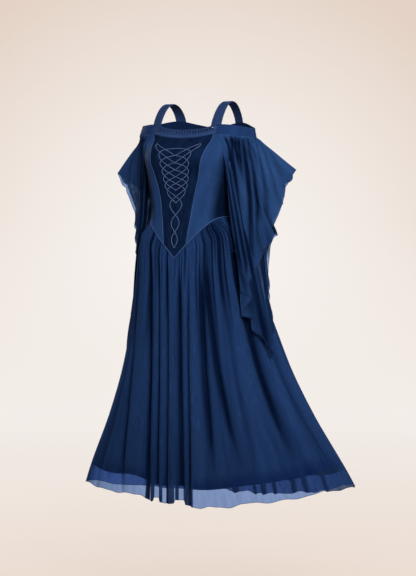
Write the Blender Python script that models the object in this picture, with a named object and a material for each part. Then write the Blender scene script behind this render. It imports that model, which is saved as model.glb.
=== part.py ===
"""Off-shoulder gown with a pointed waist, a gathered skirt and angel sleeves.

The gown is filled out as when worn. The origin lies midway between the tops of the two
shoulder straps, +Z is up, the front faces -Y and the wearer's left side is +X.
Every cloth piece is a thin wall on a surface worked out from the tables below.
"""

import math

import bpy
import numpy as np

# Thickness of each cloth and the gaps that sewn pieces keep, in metres.
SEAM_GAP = 0.0003
BAND_SEAM_GAP = 0.0005
SATIN_THICK = 0.0016
VELVET_THICK = 0.0018
BAND_THICK = 0.0022
STRAP_THICK = 0.0020
CHIFFON_THICK = 0.0014
LINING_THICK = 0.0014
PIPING_RADIUS = 0.0014
SMOOTH_BELOW_DEG = 50.0

# How finely the curves below are worked out.
SMALL_STEP = 0.001
ANGLE_SAMPLES = 400

# Neck band: its upper and lower oval, and the heights of both edges round the body.
BAND_TOP = {"half_width": 0.222, "front_y": -0.102, "back_y": 0.098}
BAND_BOTTOM = {"half_width": 0.230, "front_y": -0.122, "back_y": 0.106}
# Columns: angle from centre front in degrees, top edge z, bottom edge z.
BAND_EDGES = (
    (0, -0.1035, -0.1345),
    (18, -0.0980, -0.1290),
    (33, -0.0840, -0.1185),
    (60, -0.0850, -0.1205),
    (90, -0.0870, -0.1210),
    (118, -0.0780, -0.1130),
    (147, -0.0620, -0.0980),
    (165, -0.0730, -0.1090),
    (180, -0.0820, -0.1180),
)
TRIM_END_DEG = 34.0
BAND_COLUMNS = 42

# Openwork front of the band: slots between bars, as shares of the band's height.
SLOTS_END_DEG = 31.0
SLOT_COUNT = 22
SLOT_SHARE_OF_PITCH = 0.52
SLOT_TOP_SHARE = 0.18
SLOT_BOTTOM_SHARE = 0.50

# Shoulder straps: braided tape, from the band's front edge over to its back edge.
STRAP_X = 0.121
STRAP_WIDTH = 0.037
STRAP_SECTIONS = 14
STRAP_COLUMNS = 4
STRAP_ROUNDNESS = 1.5
STRAP_PEAK_SET_BACK = 1.12

# Bodice and body under the skirt's top. Columns: drop below the strap tops, half
# width, centre front y, centre back y, fullness of the oval's corners.
TORSO = (
    (0.080, 0.230, -0.122, 0.106, 0.00),
    (0.119, 0.230, -0.122, 0.106, 0.00),
    (0.136, 0.224, -0.125, 0.106, 0.01),
    (0.165, 0.198, -0.149, 0.105, 0.06),
    (0.205, 0.180, -0.164, 0.103, 0.12),
    (0.265, 0.167, -0.160, 0.092, 0.12),
    (0.335, 0.152, -0.157, 0.074, 0.12),
    (0.405, 0.147, -0.160, 0.062, 0.12),
    (0.460, 0.160, -0.165, 0.070, 0.12),
    (0.560, 0.190, -0.172, 0.100, 0.10),
)
CUP_DEPTH = 0.016
CUP_X = 0.092
CUP_Z = -0.207
CUP_WIDTH = 0.045
CUP_HEIGHT = 0.058

# Princess seam. Columns: drop below the strap tops, half width of the centre panel.
PRINCESS = (
    (0.100, 0.1235),
    (0.135, 0.1180),
    (0.200, 0.1055),
    (0.262, 0.0895),
    (0.334, 0.0705),
    (0.405, 0.0585),
    (0.500, 0.0465),
    (0.570, 0.0420),
)
ARMHOLE_START_X = 0.138
ARMHOLE_LOW_Z = -0.222
ARMHOLE_STEEPNESS = 0.85
HIGHEST_SEAM_Z = -0.120

# Waist seam: a point at centre front, level at the sides and the back.
WAIST_Z = -0.403
WAIST_POINT_DROP = 0.152
WAIST_POINT_HALF_WIDTH = 0.146
WAIST_CORNER_SHARPNESS = 15
WAIST_SEAM_GAP = 0.0006
WAIST_STEPS = 12
BODICE_ROWS = 9
CENTRE_COLUMNS = 11
SIDE_FRONT_COLUMNS = 10
PIPING_POINTS = 72
PIPING_SIDES = 5

# Skirt. Columns: drop, half width, centre front y, centre back y, fullness.
SKIRT = (
    (0.400, 0.160, -0.163, 0.072, 0.08),
    (0.450, 0.187, -0.167, 0.090, 0.07),
    (0.500, 0.205, -0.171, 0.108, 0.05),
    (0.560, 0.217, -0.173, 0.124, 0.03),
    (0.620, 0.229, -0.174, 0.146, 0.00),
    (0.690, 0.245, -0.174, 0.178, 0.00),
    (0.810, 0.275, -0.174, 0.236, 0.00),
    (0.960, 0.322, -0.174, 0.294, 0.00),
    (1.110, 0.388, -0.174, 0.354, 0.00),
    (1.320, 0.500, -0.174, 0.442, 0.00),
    (1.450, 0.556, -0.174, 0.490, 0.00),
)
FOLD_COUNT = 44
COLUMNS_PER_FOLD = 4
# Folds within this angle of centre front stay deep down to the hem, and this share of the
# others. The rest fade out below the waist. The steps scatter which fold is which.
BUNCH_ANGLE = 0.33
BUNCH_EDGE = 6
KEPT_SHARE = 0.36
KEPT_STEP = 0.618034
SIZE_STEP = 0.754878
FADE_FROM_SHARE = 0.10
FADE_TO_SHARE = 0.50
HEM_WAVE = 0.004
HEM_WAVES_ROUND = (7, 3)
LINING_SHORTER = 0.062
LINING_COLUMNS = 52
LINING_GAP_AT_SEAM = 0.0008
LINING_EASE = 0.0050
FRONT_BUNCHING = 0.26
FLARE_HEIGHT = 0.060
# Columns: degrees round from centre front, to the wearer's left above 0, and hem z.
SKIRT_HEM = (
    (-180, -1.440),
    (-150, -1.437),
    (-130, -1.427),
    (-110, -1.413),
    (-90, -1.396),
    (-68, -1.380),
    (-45, -1.377),
    (-30, -1.385),
    (-17, -1.391),
    (-8, -1.411),
    (0, -1.416),
    (15, -1.424),
    (30, -1.404),
    (45, -1.392),
    (60, -1.371),
    (75, -1.356),
    (90, -1.352),
    (120, -1.382),
    (150, -1.415),
    (180, -1.440),
)
# Columns: share of the way down, depth of a fold as a share of its width.
SKIRT_ROWS = (
    (0.000, 0.045),
    (0.045, 0.130),
    (0.130, 0.150),
    (0.270, 0.150),
    (0.470, 0.140),
    (0.680, 0.125),
    (0.860, 0.115),
    (1.000, 0.120),
)

# Angel sleeve, wearer's left. Columns: degrees round the sleeve from its outer point
# by way of the front, then the x, y and z of its hem.
SLEEVE_HEM = (
    (0, 0.369, 0.043, -0.242),
    (26, 0.334, 0.020, -0.328),
    (48, 0.315, 0.002, -0.420),
    (70, 0.294, -0.024, -0.530),
    (90, 0.262, -0.058, -0.605),
    (110, 0.228, -0.095, -0.680),
    (134, 0.250, -0.098, -0.775),
    (158, 0.296, -0.066, -0.855),
    (180, 0.316, -0.034, -0.880),
    (202, 0.298, 0.022, -0.820),
    (226, 0.260, 0.068, -0.735),
    (250, 0.236, 0.094, -0.650),
    (276, 0.232, 0.106, -0.530),
    (306, 0.255, 0.104, -0.410),
    (336, 0.308, 0.078, -0.310),
    (360, 0.369, 0.043, -0.242),
)
# Columns: share of the way down, depth of a gather, share of the way out sideways.
SLEEVE_ROWS = (
    (0.00, 0.0006, 0.00),
    (0.05, 0.0026, 0.04),
    (0.15, 0.0040, 0.13),
    (0.32, 0.0055, 0.30),
    (0.52, 0.0070, 0.50),
    (0.72, 0.0085, 0.71),
    (0.88, 0.0100, 0.88),
    (1.00, 0.0110, 1.00),
)
SLEEVE_GATHERS = 24
COLUMNS_PER_GATHER = 3
SLEEVE_BAND_FRONT_DEG = 38.0
SLEEVE_BAND_BACK_DEG = 141.0
ARMHOLE_SEAM_GAP = 0.0009
SLEEVE_NEAREST = 0.0030
SLEEVE_OVER_SKIRT = 0.0130
BODY_SAMPLES = 181
GATHER_PHASE = 0.5
RIGHT_SLEEVE_SWING_BACK = 0.080
SWING_HEIGHT = 0.140

# The neckline sits a little lower on the wearer's left. The lean fades out up and down.
LEAN = 0.030
LEAN_FADES_FROM_Z = -0.150
LEAN_FADE_HEIGHT = 0.110
LEAN_FULL_AT_Z = -0.080
LEAN_MORE_BEHIND = 1.5
LEAN_FRONT_Y = -0.100
LEAN_DEPTH = 0.200

COLOURS = {
    "satin": ((0.030, 0.085, 0.245, 1), 0.42),
    "velvet": ((0.003, 0.008, 0.030, 1), 0.85),
    "chiffon": ((0.014, 0.040, 0.145, 1), 0.70),
    "lining": ((0.008, 0.022, 0.075, 1), 0.60),
    "braid": ((0.030, 0.070, 0.200, 1), 0.65),
    "piping": ((0.060, 0.120, 0.290, 1), 0.50),
}


def clear_scene():
    for thing in list(bpy.data.objects):
        bpy.data.objects.remove(thing, do_unlink=True)


def read_table(table, at):
    """The columns after the first, read off a smooth curve at any value of the first."""
    table = np.array(table, float)
    keys, values = table[:, 0], table[:, 1:]
    slopes = np.gradient(values, keys, axis=0)
    at = np.clip(np.asarray(at, float), keys[0], keys[-1])
    low = np.clip(np.searchsorted(keys, at) - 1, 0, len(keys) - 2)
    span = (keys[low + 1] - keys[low])[..., None]
    u = (at - keys[low])[..., None] / span
    rise = values[low] * (1 + 2 * u) * (1 - u) ** 2 + values[low + 1] * u**2 * (3 - 2 * u)
    turn = slopes[low] * u * (1 - u) ** 2 - slopes[low + 1] * u**2 * (1 - u)
    return rise + span * turn


def oval(angle, half_width, front_y, back_y, fullness=0.0):
    """x and y on an oval section: angle 0 is centre front, a quarter turn the left side."""
    sine, cosine = np.sin(angle), np.cos(angle)
    middle = (front_y + back_y) / 2
    depth = (back_y - front_y) / 2
    x = half_width * sine * (1 + fullness * cosine**2)
    y = middle - depth * cosine * (1 + fullness * sine**2)
    return x, y


def band_point(degrees, share):
    """A point of the neck band's middle surface, share 0 at its top edge."""
    angle = np.radians(degrees)
    edges = read_table(BAND_EDGES, 180 - np.abs(180 - np.mod(degrees, 360)))
    size = {k: BAND_TOP[k] * (1 - share) + BAND_BOTTOM[k] * share for k in BAND_TOP}
    x, y = oval(angle, **size)
    z = edges[..., 0] * (1 - share) + edges[..., 1] * share
    return np.stack([x, y, z], axis=-1)


def body_point(table, angle, z):
    """A point of the bodice's or the skirt's smooth surface at this angle and height."""
    size = read_table(table, -z)
    x, y = oval(angle, size[..., 0], size[..., 1], size[..., 2], size[..., 3])
    away = (np.abs(x) - CUP_X) / CUP_WIDTH
    above = (z - CUP_Z) / CUP_HEIGHT
    front = np.clip(np.cos(angle), 0, 1)
    y = y - CUP_DEPTH * front * np.exp(-(away**2) - above**2)
    return np.stack(np.broadcast_arrays(x, y, z), axis=-1)


def body_normal(angle, z):
    """Outward direction of the bodice's surface, so that neighbours agree at a seam."""
    ahead, behind = angle + SMALL_STEP, angle - SMALL_STEP
    along = body_point(TORSO, ahead, z) - body_point(TORSO, behind, z)
    up = body_point(TORSO, angle, z + SMALL_STEP) - body_point(TORSO, angle, z - SMALL_STEP)
    return unit(np.cross(along, up))


def unit(vectors):
    return vectors / np.linalg.norm(vectors, axis=-1, keepdims=True)


def angle_at_x(x, z):
    """The angle at which the bodice's front half reaches this x at this height."""
    size = read_table(TORSO, -np.asarray(z, float))
    tries = np.linspace(0, math.pi / 2, ANGLE_SAMPLES)
    widths = np.sin(tries) * (1 + np.multiply.outer(size[..., 3], np.cos(tries) ** 2))
    shares = np.asarray(x) / size[..., 0]
    rows = widths.reshape(-1, ANGLE_SAMPLES)
    angles = [np.interp(share, row, tries) for share, row in zip(np.ravel(shares), rows)]
    return np.reshape(angles, np.shape(shares))


def waist_at(angle):
    """Height of the waist seam: pointed at centre front, level at the sides and the back."""
    z = np.full(np.shape(angle), WAIST_Z, float)
    for _ in range(WAIST_STEPS):
        size = read_table(TORSO, -z)
        x = np.abs(oval(angle, size[..., 0], size[..., 1], size[..., 2], size[..., 3])[0])
        from_front = np.where(np.cos(angle) > 0, x, 2 * size[..., 0] - x)
        nearness = 1 - from_front / WAIST_POINT_HALF_WIDTH
        bend = WAIST_CORNER_SHARPNESS
        z = WAIST_Z - WAIST_POINT_DROP * np.log1p(np.exp(bend * nearness)) / bend
    return z


def seam_allowance(angle):
    """How far above or below the waist seam's middle a sewn edge ends, piping between."""
    half = math.pi - np.abs(math.pi - np.mod(angle, 2 * math.pi))
    near, far = half + SMALL_STEP, half + 3 * SMALL_STEP
    run = body_point(TORSO, far, waist_at(far)) - body_point(TORSO, near, waist_at(near))
    slope = run[..., 2] / np.hypot(run[..., 0], run[..., 1])
    return (PIPING_RADIUS + WAIST_SEAM_GAP) * np.sqrt(1 + slope**2)


def band_degrees():
    """The angles of the neck band's columns, which run from one end of the trim to the other."""
    return np.linspace(TRIM_END_DEG, 360 - TRIM_END_DEG, BAND_COLUMNS)


def band_edge_z(degrees, share):
    """Height of the band's edge, straight between its columns as the band itself is."""
    size = 180 - np.abs(180 - np.mod(degrees, 360))
    columns = band_degrees()
    heights = band_point(columns, share)[:, 2]
    curved = read_table(BAND_EDGES, size)[..., share]
    return np.where(size < TRIM_END_DEG, curved, np.interp(size, columns, heights))


def bodice_top(angle):
    """Height of the bodice's upper edge: along the band, then down round the armhole."""
    size = np.degrees(np.mod(angle, 2 * math.pi))
    size = 180 - np.abs(180 - size)
    below_band = band_edge_z(size, 1) - BAND_SEAM_GAP
    start = math.degrees(math.asin(ARMHOLE_START_X / BAND_BOTTOM["half_width"]))
    from_end = np.minimum(size, 180 - size)
    share = np.clip((from_end - start) / (90 - start), 0, 1)
    dip = np.sin(share * math.pi / 2) ** ARMHOLE_STEEPNESS
    return below_band * (1 - dip) + ARMHOLE_LOW_Z * dip


def add_object(name, points, faces, cloth):
    """A mesh object with its own material, shaded smooth but for its cut edges."""
    mesh = bpy.data.meshes.new(name)
    mesh.from_pydata([tuple(p) for p in leaned(points)], [], faces)
    mesh.validate()
    mesh.shade_smooth()
    mesh.set_sharp_from_angle(angle=math.radians(SMOOTH_BELOW_DEG))
    obj = bpy.data.objects.new(name, mesh)
    bpy.context.collection.objects.link(obj)
    colour, roughness = COLOURS[cloth]
    material = bpy.data.materials.new(name + "_" + cloth)
    material.use_nodes = True
    shader = material.node_tree.nodes["Principled BSDF"]
    shader.inputs["Base Color"].default_value = colour
    shader.inputs["Roughness"].default_value = roughness
    shader.inputs["Metallic"].default_value = 0.0
    mesh.materials.append(material)
    return obj


def leaned(points):
    """The points with the neckline's slight drop towards the wearer's left, more behind."""
    x, y, z = points.T
    fade = 1 - np.clip((LEAN_FADES_FROM_Z - z) / LEAN_FADE_HEIGHT, 0, 1)
    fade *= np.clip(z / LEAN_FULL_AT_Z, 0, 1)
    fade *= 1 + LEAN_MORE_BEHIND * np.clip((y - LEAN_FRONT_Y) / LEAN_DEPTH, 0, 1)
    return points - np.outer(LEAN * x * fade, (0, 0, 1))


def grid_normals(middle, closed):
    """Outward direction at each point of a grid whose rows run down the cloth."""
    if closed:
        along = np.roll(middle, -1, axis=1) - np.roll(middle, 1, axis=1)
    else:
        along = np.gradient(middle, axis=1)
    return unit(np.cross(np.gradient(middle, axis=0), along))


def add_wall(name, middle, thickness, cloth, normals=None, closed=False, open_cells=()):
    """A closed wall of even thickness on a grid of points, with the open cells cut through."""
    rows, columns = middle.shape[:2]
    if normals is None:
        normals = grid_normals(middle, closed)
    outer = (middle + normals * thickness / 2).reshape(-1, 3)
    inner = (middle - normals * thickness / 2).reshape(-1, 3)
    count = rows * columns
    quads = []
    for row in range(rows - 1):
        for column in range(columns if closed else columns - 1):
            if (row, column) not in open_cells:
                following = (column + 1) % columns
                above, below = row * columns, (row + 1) * columns
                quads.append((above + column, below + column, below + following, above + following))
    sides = {(q[i], q[(i + 1) % 4]) for q in quads for i in range(4)}
    faces = list(quads)
    faces += [tuple(count + corner for corner in reversed(q)) for q in quads]
    faces += [(b, a, count + a, count + b) for a, b in sorted(sides) if (b, a) not in sides]
    used = sorted({corner for face in faces for corner in face})
    place = {corner: i for i, corner in enumerate(used)}
    points = np.concatenate([outer, inner])[used]
    return add_object(name, points, [tuple(place[c] for c in face) for face in faces], cloth)


def trim_edges(grid, amount=SEAM_GAP / 2):
    """Draws the first and last column in a little, which leaves the gap of a seam."""
    grid = grid.copy()
    grid[:, 0] += unit(grid[:, 1] - grid[:, 0]) * amount
    grid[:, -1] += unit(grid[:, -2] - grid[:, -1]) * amount
    return grid


def level_rows(normals, rows):
    """Turns the directions in these rows level, so that a sewn edge ends square."""
    normals = normals.copy()
    for row in rows:
        normals[row, :, 2] = 0
        normals[row] = unit(normals[row])
    return normals


def make_neck_band():
    middle = trim_edges(np.stack([band_point(band_degrees(), share) for share in (0, 0.5, 1)]))
    normals = level_rows(grid_normals(middle, closed=False), (0, -1))
    add_wall("neck_band", middle, BAND_THICK, "satin", normals)


def make_openwork_trim():
    pitch = 2 * SLOTS_END_DEG / SLOT_COUNT
    bar = pitch * (1 - SLOT_SHARE_OF_PITCH)
    degrees = [-TRIM_END_DEG]
    for slot in range(SLOT_COUNT):
        start = -SLOTS_END_DEG + slot * pitch + bar / 2
        degrees += [start, start + pitch - bar]
    degrees = np.array(degrees + [TRIM_END_DEG])
    shares = (0.0, SLOT_TOP_SHARE, SLOT_BOTTOM_SHARE, 1.0)
    middle = trim_edges(np.stack([band_point(degrees, share) for share in shares]))
    normals = level_rows(grid_normals(middle, closed=False), (0, -1))
    slots = {(1, column) for column in range(1, 2 * SLOT_COUNT, 2)}
    add_wall("openwork_trim", middle, BAND_THICK, "braid", normals, open_cells=slots)


def strap_foot(side, degrees):
    """The points across a strap where it meets the band's top edge, front or back."""
    leaning = abs(math.cos(math.radians(degrees)))
    half_turn = math.degrees(STRAP_WIDTH / 2 / BAND_TOP["half_width"] / leaning)
    across = degrees + half_turn * np.linspace(-1, 1, STRAP_COLUMNS)
    feet = band_point(across, 0)
    feet[:, 2] = band_edge_z(across, 0) + BAND_SEAM_GAP
    feet[:, 0] *= side
    return feet[np.argsort(feet[:, 0])]


def make_strap(name, side):
    front_degrees = math.degrees(math.asin(STRAP_X / BAND_TOP["half_width"]))
    front = strap_foot(side, front_degrees)
    back = strap_foot(side, 180 - front_degrees)
    shares = np.linspace(0, 1, STRAP_SECTIONS)
    across = (1 - np.cos(shares * math.pi)) / 2
    rows = []
    for share, reach in zip(shares, across):
        row = front * (1 - reach) + back * reach
        lift = np.sin(share**STRAP_PEAK_SET_BACK * math.pi) ** STRAP_ROUNDNESS
        row[:, 2] = row[:, 2] * (1 - lift) - STRAP_THICK / 2 * lift
        rows.append(row)
    middle = np.array(rows)[::-1]
    normals = level_rows(grid_normals(middle, closed=False), (0, -1))
    add_wall(name, middle, STRAP_THICK, "braid", normals)


def panel_grid(angles_at, columns, tops, bottoms):
    """Points and outward directions of a bodice panel, its columns running down."""
    shares = np.linspace(0, 1, BODICE_ROWS)
    z = tops[None, :] * (1 - shares[:, None]) + bottoms[None, :] * shares[:, None]
    angles = angles_at(z, columns[None, :])
    return body_point(TORSO, angles, z), level_rows(body_normal(angles, z), (0, -1))


def panel_ends(angles_at, columns):
    """Heights of a panel's upper and lower edges, for each of its columns."""
    tops = np.full(len(columns), HIGHEST_SEAM_Z)
    bottoms = np.full(len(columns), WAIST_Z)
    for _ in range(WAIST_STEPS):
        tops = bodice_top(angles_at(tops, columns))
        low = angles_at(bottoms, columns)
        bottoms = waist_at(low) + seam_allowance(low)
    return tops, bottoms


def princess_x(z):
    return read_table(PRINCESS, -z)[..., 0]


def centre_angles(z, share):
    return np.sign(share) * angle_at_x(np.abs(share) * princess_x(z), z)


def side_front_angles(z, share):
    seam = angle_at_x(princess_x(z), z)
    return seam + (math.pi / 2 - seam) * share


def back_angles(z, angle):
    return angle + 0 * z


def make_bodice():
    columns = np.linspace(-1, 1, CENTRE_COLUMNS)
    middle, normals = panel_grid(centre_angles, columns, *panel_ends(centre_angles, columns))
    add_wall("centre_front", trim_edges(middle), VELVET_THICK, "velvet", normals)
    columns = np.linspace(0, 1, SIDE_FRONT_COLUMNS)
    ends = panel_ends(side_front_angles, columns)
    middle, normals = panel_grid(side_front_angles, columns, *ends)
    add_wall("side_front_left", trim_edges(middle), SATIN_THICK, "satin", normals)
    mirror = np.array([-1, 1, 1])
    middle, normals = middle[:, ::-1] * mirror, normals[:, ::-1] * mirror
    add_wall("side_front_right", trim_edges(middle), SATIN_THICK, "satin", normals)
    seams = math.pi / 2, 3 * math.pi / 2
    between = [angle for angle in np.radians(band_degrees()) if seams[0] < angle < seams[1]]
    columns = np.array([seams[0], *between, seams[1]])
    middle, normals = panel_grid(back_angles, columns, *panel_ends(back_angles, columns))
    add_wall("bodice_back", trim_edges(middle), SATIN_THICK, "satin", normals)


def make_waist_piping():
    """A round cord in the waist seam, mitred where the seam comes to its point."""
    angles = np.arange(PIPING_POINTS) * 2 * math.pi / PIPING_POINTS
    heights = waist_at(angles)
    path = body_point(TORSO, angles, heights)
    ahead = unit(np.roll(path, -1, axis=0) - path)
    tangent = unit(ahead + np.roll(ahead, 1, axis=0))
    mitre = 1 / np.sum(tangent * ahead, axis=1)[:, None]
    out = body_normal(angles, heights)
    out = unit(out - tangent * np.sum(out * tangent, axis=1)[:, None])
    across = np.cross(tangent, out) * mitre
    points = []
    for side in range(PIPING_SIDES):
        turn = 2 * math.pi * side / PIPING_SIDES
        points.append(path + PIPING_RADIUS * (out * math.cos(turn) + across * math.sin(turn)))
    points = np.stack(points, axis=1).reshape(-1, 3)
    faces = []
    for place in range(PIPING_POINTS):
        after = (place + 1) % PIPING_POINTS
        for side in range(PIPING_SIDES):
            beside = (side + 1) % PIPING_SIDES
            a, b = place * PIPING_SIDES, after * PIPING_SIDES
            faces.append((a + side, a + beside, b + beside, b + side))
    add_object("waist_piping", points, faces, "piping")


def hem_z(angle):
    """Height of the skirt's hem, which hangs unevenly and rises towards the sides."""
    quick, slow = HEM_WAVES_ROUND
    wave = HEM_WAVE * np.sin(quick * angle) * np.sin(slow * angle + 1)
    degrees = np.mod(np.degrees(angle) + 180, 360) - 180
    return read_table(SKIRT_HEM, degrees)[..., 0] + wave


def skirt_surface(start, share, shorter=0.0):
    """Smooth surface of the skirt before its folds: start is the angle at the waist."""
    spread = start - FRONT_BUNCHING * np.sin(2 * start)
    eased = np.sqrt(share)
    angle = start * (1 - eased) + spread * eased
    top = waist_at(start) - seam_allowance(start)
    z = top * (1 - share) + (hem_z(angle) + shorter) * share
    flare = np.clip((top - z) / FLARE_HEIGHT, 0, 1)
    flare = (flare * flare * (3 - 2 * flare))[..., None]
    return body_point(TORSO, angle, z) * (1 - flare) + body_point(SKIRT, angle, z) * flare


def fold_strengths(number, share):
    """How deep the trough after each ridge is: all at the waist, few at the sides below."""
    middle = (number + 0.5) / FOLD_COUNT * 2 * math.pi
    off_front = math.pi - np.abs(math.pi - middle)
    bunch = 1 / (1 + (off_front / BUNCH_ANGLE) ** BUNCH_EDGE)
    size = (number * SIZE_STEP) % 1
    kept = np.where((number * KEPT_STEP) % 1 < KEPT_SHARE, 0.80 + 0.20 * size, 0.15 + 0.10 * size)
    below = bunch * (0.80 + 0.20 * size) + (1 - bunch) * kept
    fade = np.clip((share - FADE_FROM_SHARE) / (FADE_TO_SHARE - FADE_FROM_SHARE), 0, 1)
    return (0.70 + 0.30 * size) * (1 - fade) + below * fade


def fold_profile(place, share):
    """Height of the folds at a place counted in folds: 1 on the ridges, down to -1 between."""
    return 1 - fold_strengths(np.floor(place), share) * (1 - np.cos(2 * math.pi * place))


def add_halves(name, middle, thickness, cloth):
    """Front and back walls of a grid that runs all round, with a seam down each side."""
    count = middle.shape[1]
    normals = level_rows(grid_normals(middle, closed=True), (0,))
    quarter = count // 4
    half = np.arange(-quarter, quarter + 1)
    for ending, columns in (("_front", half % count), ("_back", (half + 2 * quarter) % count)):
        piece = trim_edges(middle[:, columns])
        add_wall(name + ending, piece, thickness, cloth, normals[:, columns])


def make_skirt():
    count = FOLD_COUNT * COLUMNS_PER_FOLD
    start = np.arange(count) * 2 * math.pi / count
    share, depth = np.array(SKIRT_ROWS).T
    smooth = skirt_surface(start[None, :], share[:, None] + 0 * start)
    out = grid_normals(smooth, closed=True)
    run = np.linalg.norm(np.roll(smooth, -1, axis=1) - np.roll(smooth, 1, axis=1), axis=2)
    fold_width = run * COLUMNS_PER_FOLD / 2
    wave = fold_profile(start * FOLD_COUNT / (2 * math.pi), share[:, None])
    middle = smooth + out * (wave * depth[:, None] * fold_width)[..., None]
    add_halves("skirt", middle, CHIFFON_THICK, "chiffon")


def make_skirt_lining():
    start = np.arange(LINING_COLUMNS) * 2 * math.pi / LINING_COLUMNS
    share, depth = np.array(SKIRT_ROWS).T
    smooth = skirt_surface(start[None, :], share[:, None] + 0 * start, LINING_SHORTER)
    run = np.linalg.norm(np.roll(smooth, -1, axis=1) - np.roll(smooth, 1, axis=1), axis=2)
    fold_width = run / 2 * LINING_COLUMNS / FOLD_COUNT
    walls = (CHIFFON_THICK + LINING_THICK) / 2
    ease = LINING_GAP_AT_SEAM + LINING_EASE * np.sqrt(share)[:, None]
    inset = depth[:, None] * fold_width + walls + ease
    out = level_rows(grid_normals(smooth, closed=True), (0,))
    add_halves("skirt_lining", smooth - out * inset[..., None], LINING_THICK, "lining")


def armhole_point(angle):
    """Where the sleeve is sewn on, just outside the bodice's armhole edge."""
    z = bodice_top(angle)
    out = body_normal(angle, z)
    out[..., 2] = 0
    reach = (SATIN_THICK + CHIFFON_THICK) / 2 + ARMHOLE_SEAM_GAP
    return body_point(TORSO, angle, z) + unit(out) * reach


def sleeve_top(degrees):
    """The sleeve's upper edge: under the band outside, along the armhole inside."""
    turn = np.mod(degrees + 180, 360) - 180
    share = np.clip(turn / 90, -1, 1)
    middle_deg = (SLEEVE_BAND_FRONT_DEG + SLEEVE_BAND_BACK_DEG) / 2
    half_deg = (SLEEVE_BAND_BACK_DEG - SLEEVE_BAND_FRONT_DEG) / 2
    band_deg = middle_deg - share * half_deg
    under_band = band_point(band_deg, 1)
    under_band[:, 2] = band_edge_z(band_deg, 1) - BAND_SEAM_GAP
    inside = np.clip((np.mod(degrees, 360) - 90) / 180, 0, 1)
    angle = np.radians(SLEEVE_BAND_FRONT_DEG + inside * 2 * half_deg)
    return np.where((np.abs(turn) <= 90)[:, None], under_band, armhole_point(angle))


def pushed_clear(points, margin):
    """Moves points that lie inside the bodice or the skirt out to this far from it."""
    turns = np.linspace(-math.pi, math.pi, BODY_SAMPLES)
    moved = points.copy()
    for place in np.ndindex(points.shape[:-1]):
        x, y, z = points[place]
        table = TORSO if z > WAIST_Z else SKIRT
        _, front_y, back_y, _ = read_table(table, -z)
        middle = (front_y + back_y) / 2
        ring = body_point(table, turns, np.full(BODY_SAMPLES, z))
        bearings = np.arctan2(ring[:, 0], middle - ring[:, 1])
        radii = np.hypot(ring[:, 0], ring[:, 1] - middle)
        bearing = math.atan2(x, middle - y)
        wanted = np.interp(bearing, bearings, radii) + margin[place[0], 0]
        grow = max(1, wanted / math.hypot(x, y - middle))
        moved[place] = x * grow, middle + (y - middle) * grow, z
    return moved


def make_sleeve(name, side, swing_back):
    count = SLEEVE_GATHERS * COLUMNS_PER_GATHER
    degrees = np.arange(count) * 360 / count
    top = sleeve_top(degrees)
    hem = read_table(SLEEVE_HEM, degrees)
    hem[:, 1] += swing_back * np.clip((hem[0, 2] - hem[:, 2]) / SWING_HEIGHT, 0, 1)
    share, depth, outward = np.array(SLEEVE_ROWS).T
    way = np.stack([outward, outward, share], axis=1)[:, None, :]
    smooth = top * (1 - way) + hem * way
    out = grid_normals(smooth[:, ::-1], closed=True)[:, ::-1]
    wave = np.cos(np.radians(degrees) * SLEEVE_GATHERS + GATHER_PHASE)
    middle = smooth + out * (wave * depth[:, None])[..., None]
    over_skirt = np.clip(2 * share, 0, 1)[:, None]
    margin = SLEEVE_NEAREST + (SLEEVE_OVER_SKIRT - SLEEVE_NEAREST) * over_skirt
    cleared = pushed_clear(middle[1:], margin[1:])
    middle = np.concatenate([middle[:1], cleared])[:, ::-1]
    if side < 0:
        middle = middle[:, ::-1] * np.array([-1, 1, 1])
    normals = level_rows(grid_normals(middle, closed=True), (0,))
    add_wall(name, middle, CHIFFON_THICK, "chiffon", normals, closed=True)


def main():
    clear_scene()
    make_neck_band()
    make_openwork_trim()
    make_strap("strap_left", 1)
    make_strap("strap_right", -1)
    make_bodice()
    make_waist_piping()
    make_skirt()
    make_skirt_lining()
    make_sleeve("sleeve_left", 1, 0.0)
    make_sleeve("sleeve_right", -1, RIGHT_SLEEVE_SWING_BACK)


main()
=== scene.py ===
"""Looks of the off-shoulder gown: fine cloth, trims, stitching, stage, lights and camera.

Everything is in metres in the frame of the solids: the origin is midway between the tops
of the shoulder straps, +Z is up, the front faces -Y, the wearer's left side is +X. The
tables down to SLEEVE_HEM are those that the solids are made from.
"""

import math

import bpy
import numpy as np
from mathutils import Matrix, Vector


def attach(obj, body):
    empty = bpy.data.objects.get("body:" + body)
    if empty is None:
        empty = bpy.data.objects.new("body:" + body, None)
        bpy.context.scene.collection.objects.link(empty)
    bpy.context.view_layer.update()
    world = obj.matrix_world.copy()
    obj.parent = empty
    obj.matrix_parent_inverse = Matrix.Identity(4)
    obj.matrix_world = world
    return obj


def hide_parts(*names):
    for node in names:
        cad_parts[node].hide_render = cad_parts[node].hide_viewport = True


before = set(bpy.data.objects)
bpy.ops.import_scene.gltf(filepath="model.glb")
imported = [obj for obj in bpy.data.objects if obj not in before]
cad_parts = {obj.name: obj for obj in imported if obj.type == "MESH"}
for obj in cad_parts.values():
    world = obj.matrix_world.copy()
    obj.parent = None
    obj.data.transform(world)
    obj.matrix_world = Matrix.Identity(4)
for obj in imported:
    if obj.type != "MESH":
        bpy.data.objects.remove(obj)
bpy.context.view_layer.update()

# Cloth thickness and trims.
SATIN_THICK = 0.0016
VELVET_THICK = 0.0018
BAND_THICK = 0.0022
STRAP_THICK = 0.0020
PIPING_RADIUS = 0.0014
SEAM_PIPING_RADIUS = 0.0011
BRAID_RADIUS = 0.0009
PLY_PITCH = 0.0022
# Scale at which the bands of the wave texture lie one metre apart.
WAVE_SCALE = 0.314
TRIM_LIFT = 0.0002
STITCH_PITCH = 0.0032
STITCH_LENGTH = 0.0021
STITCH_RADIUS = 0.0003

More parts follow.
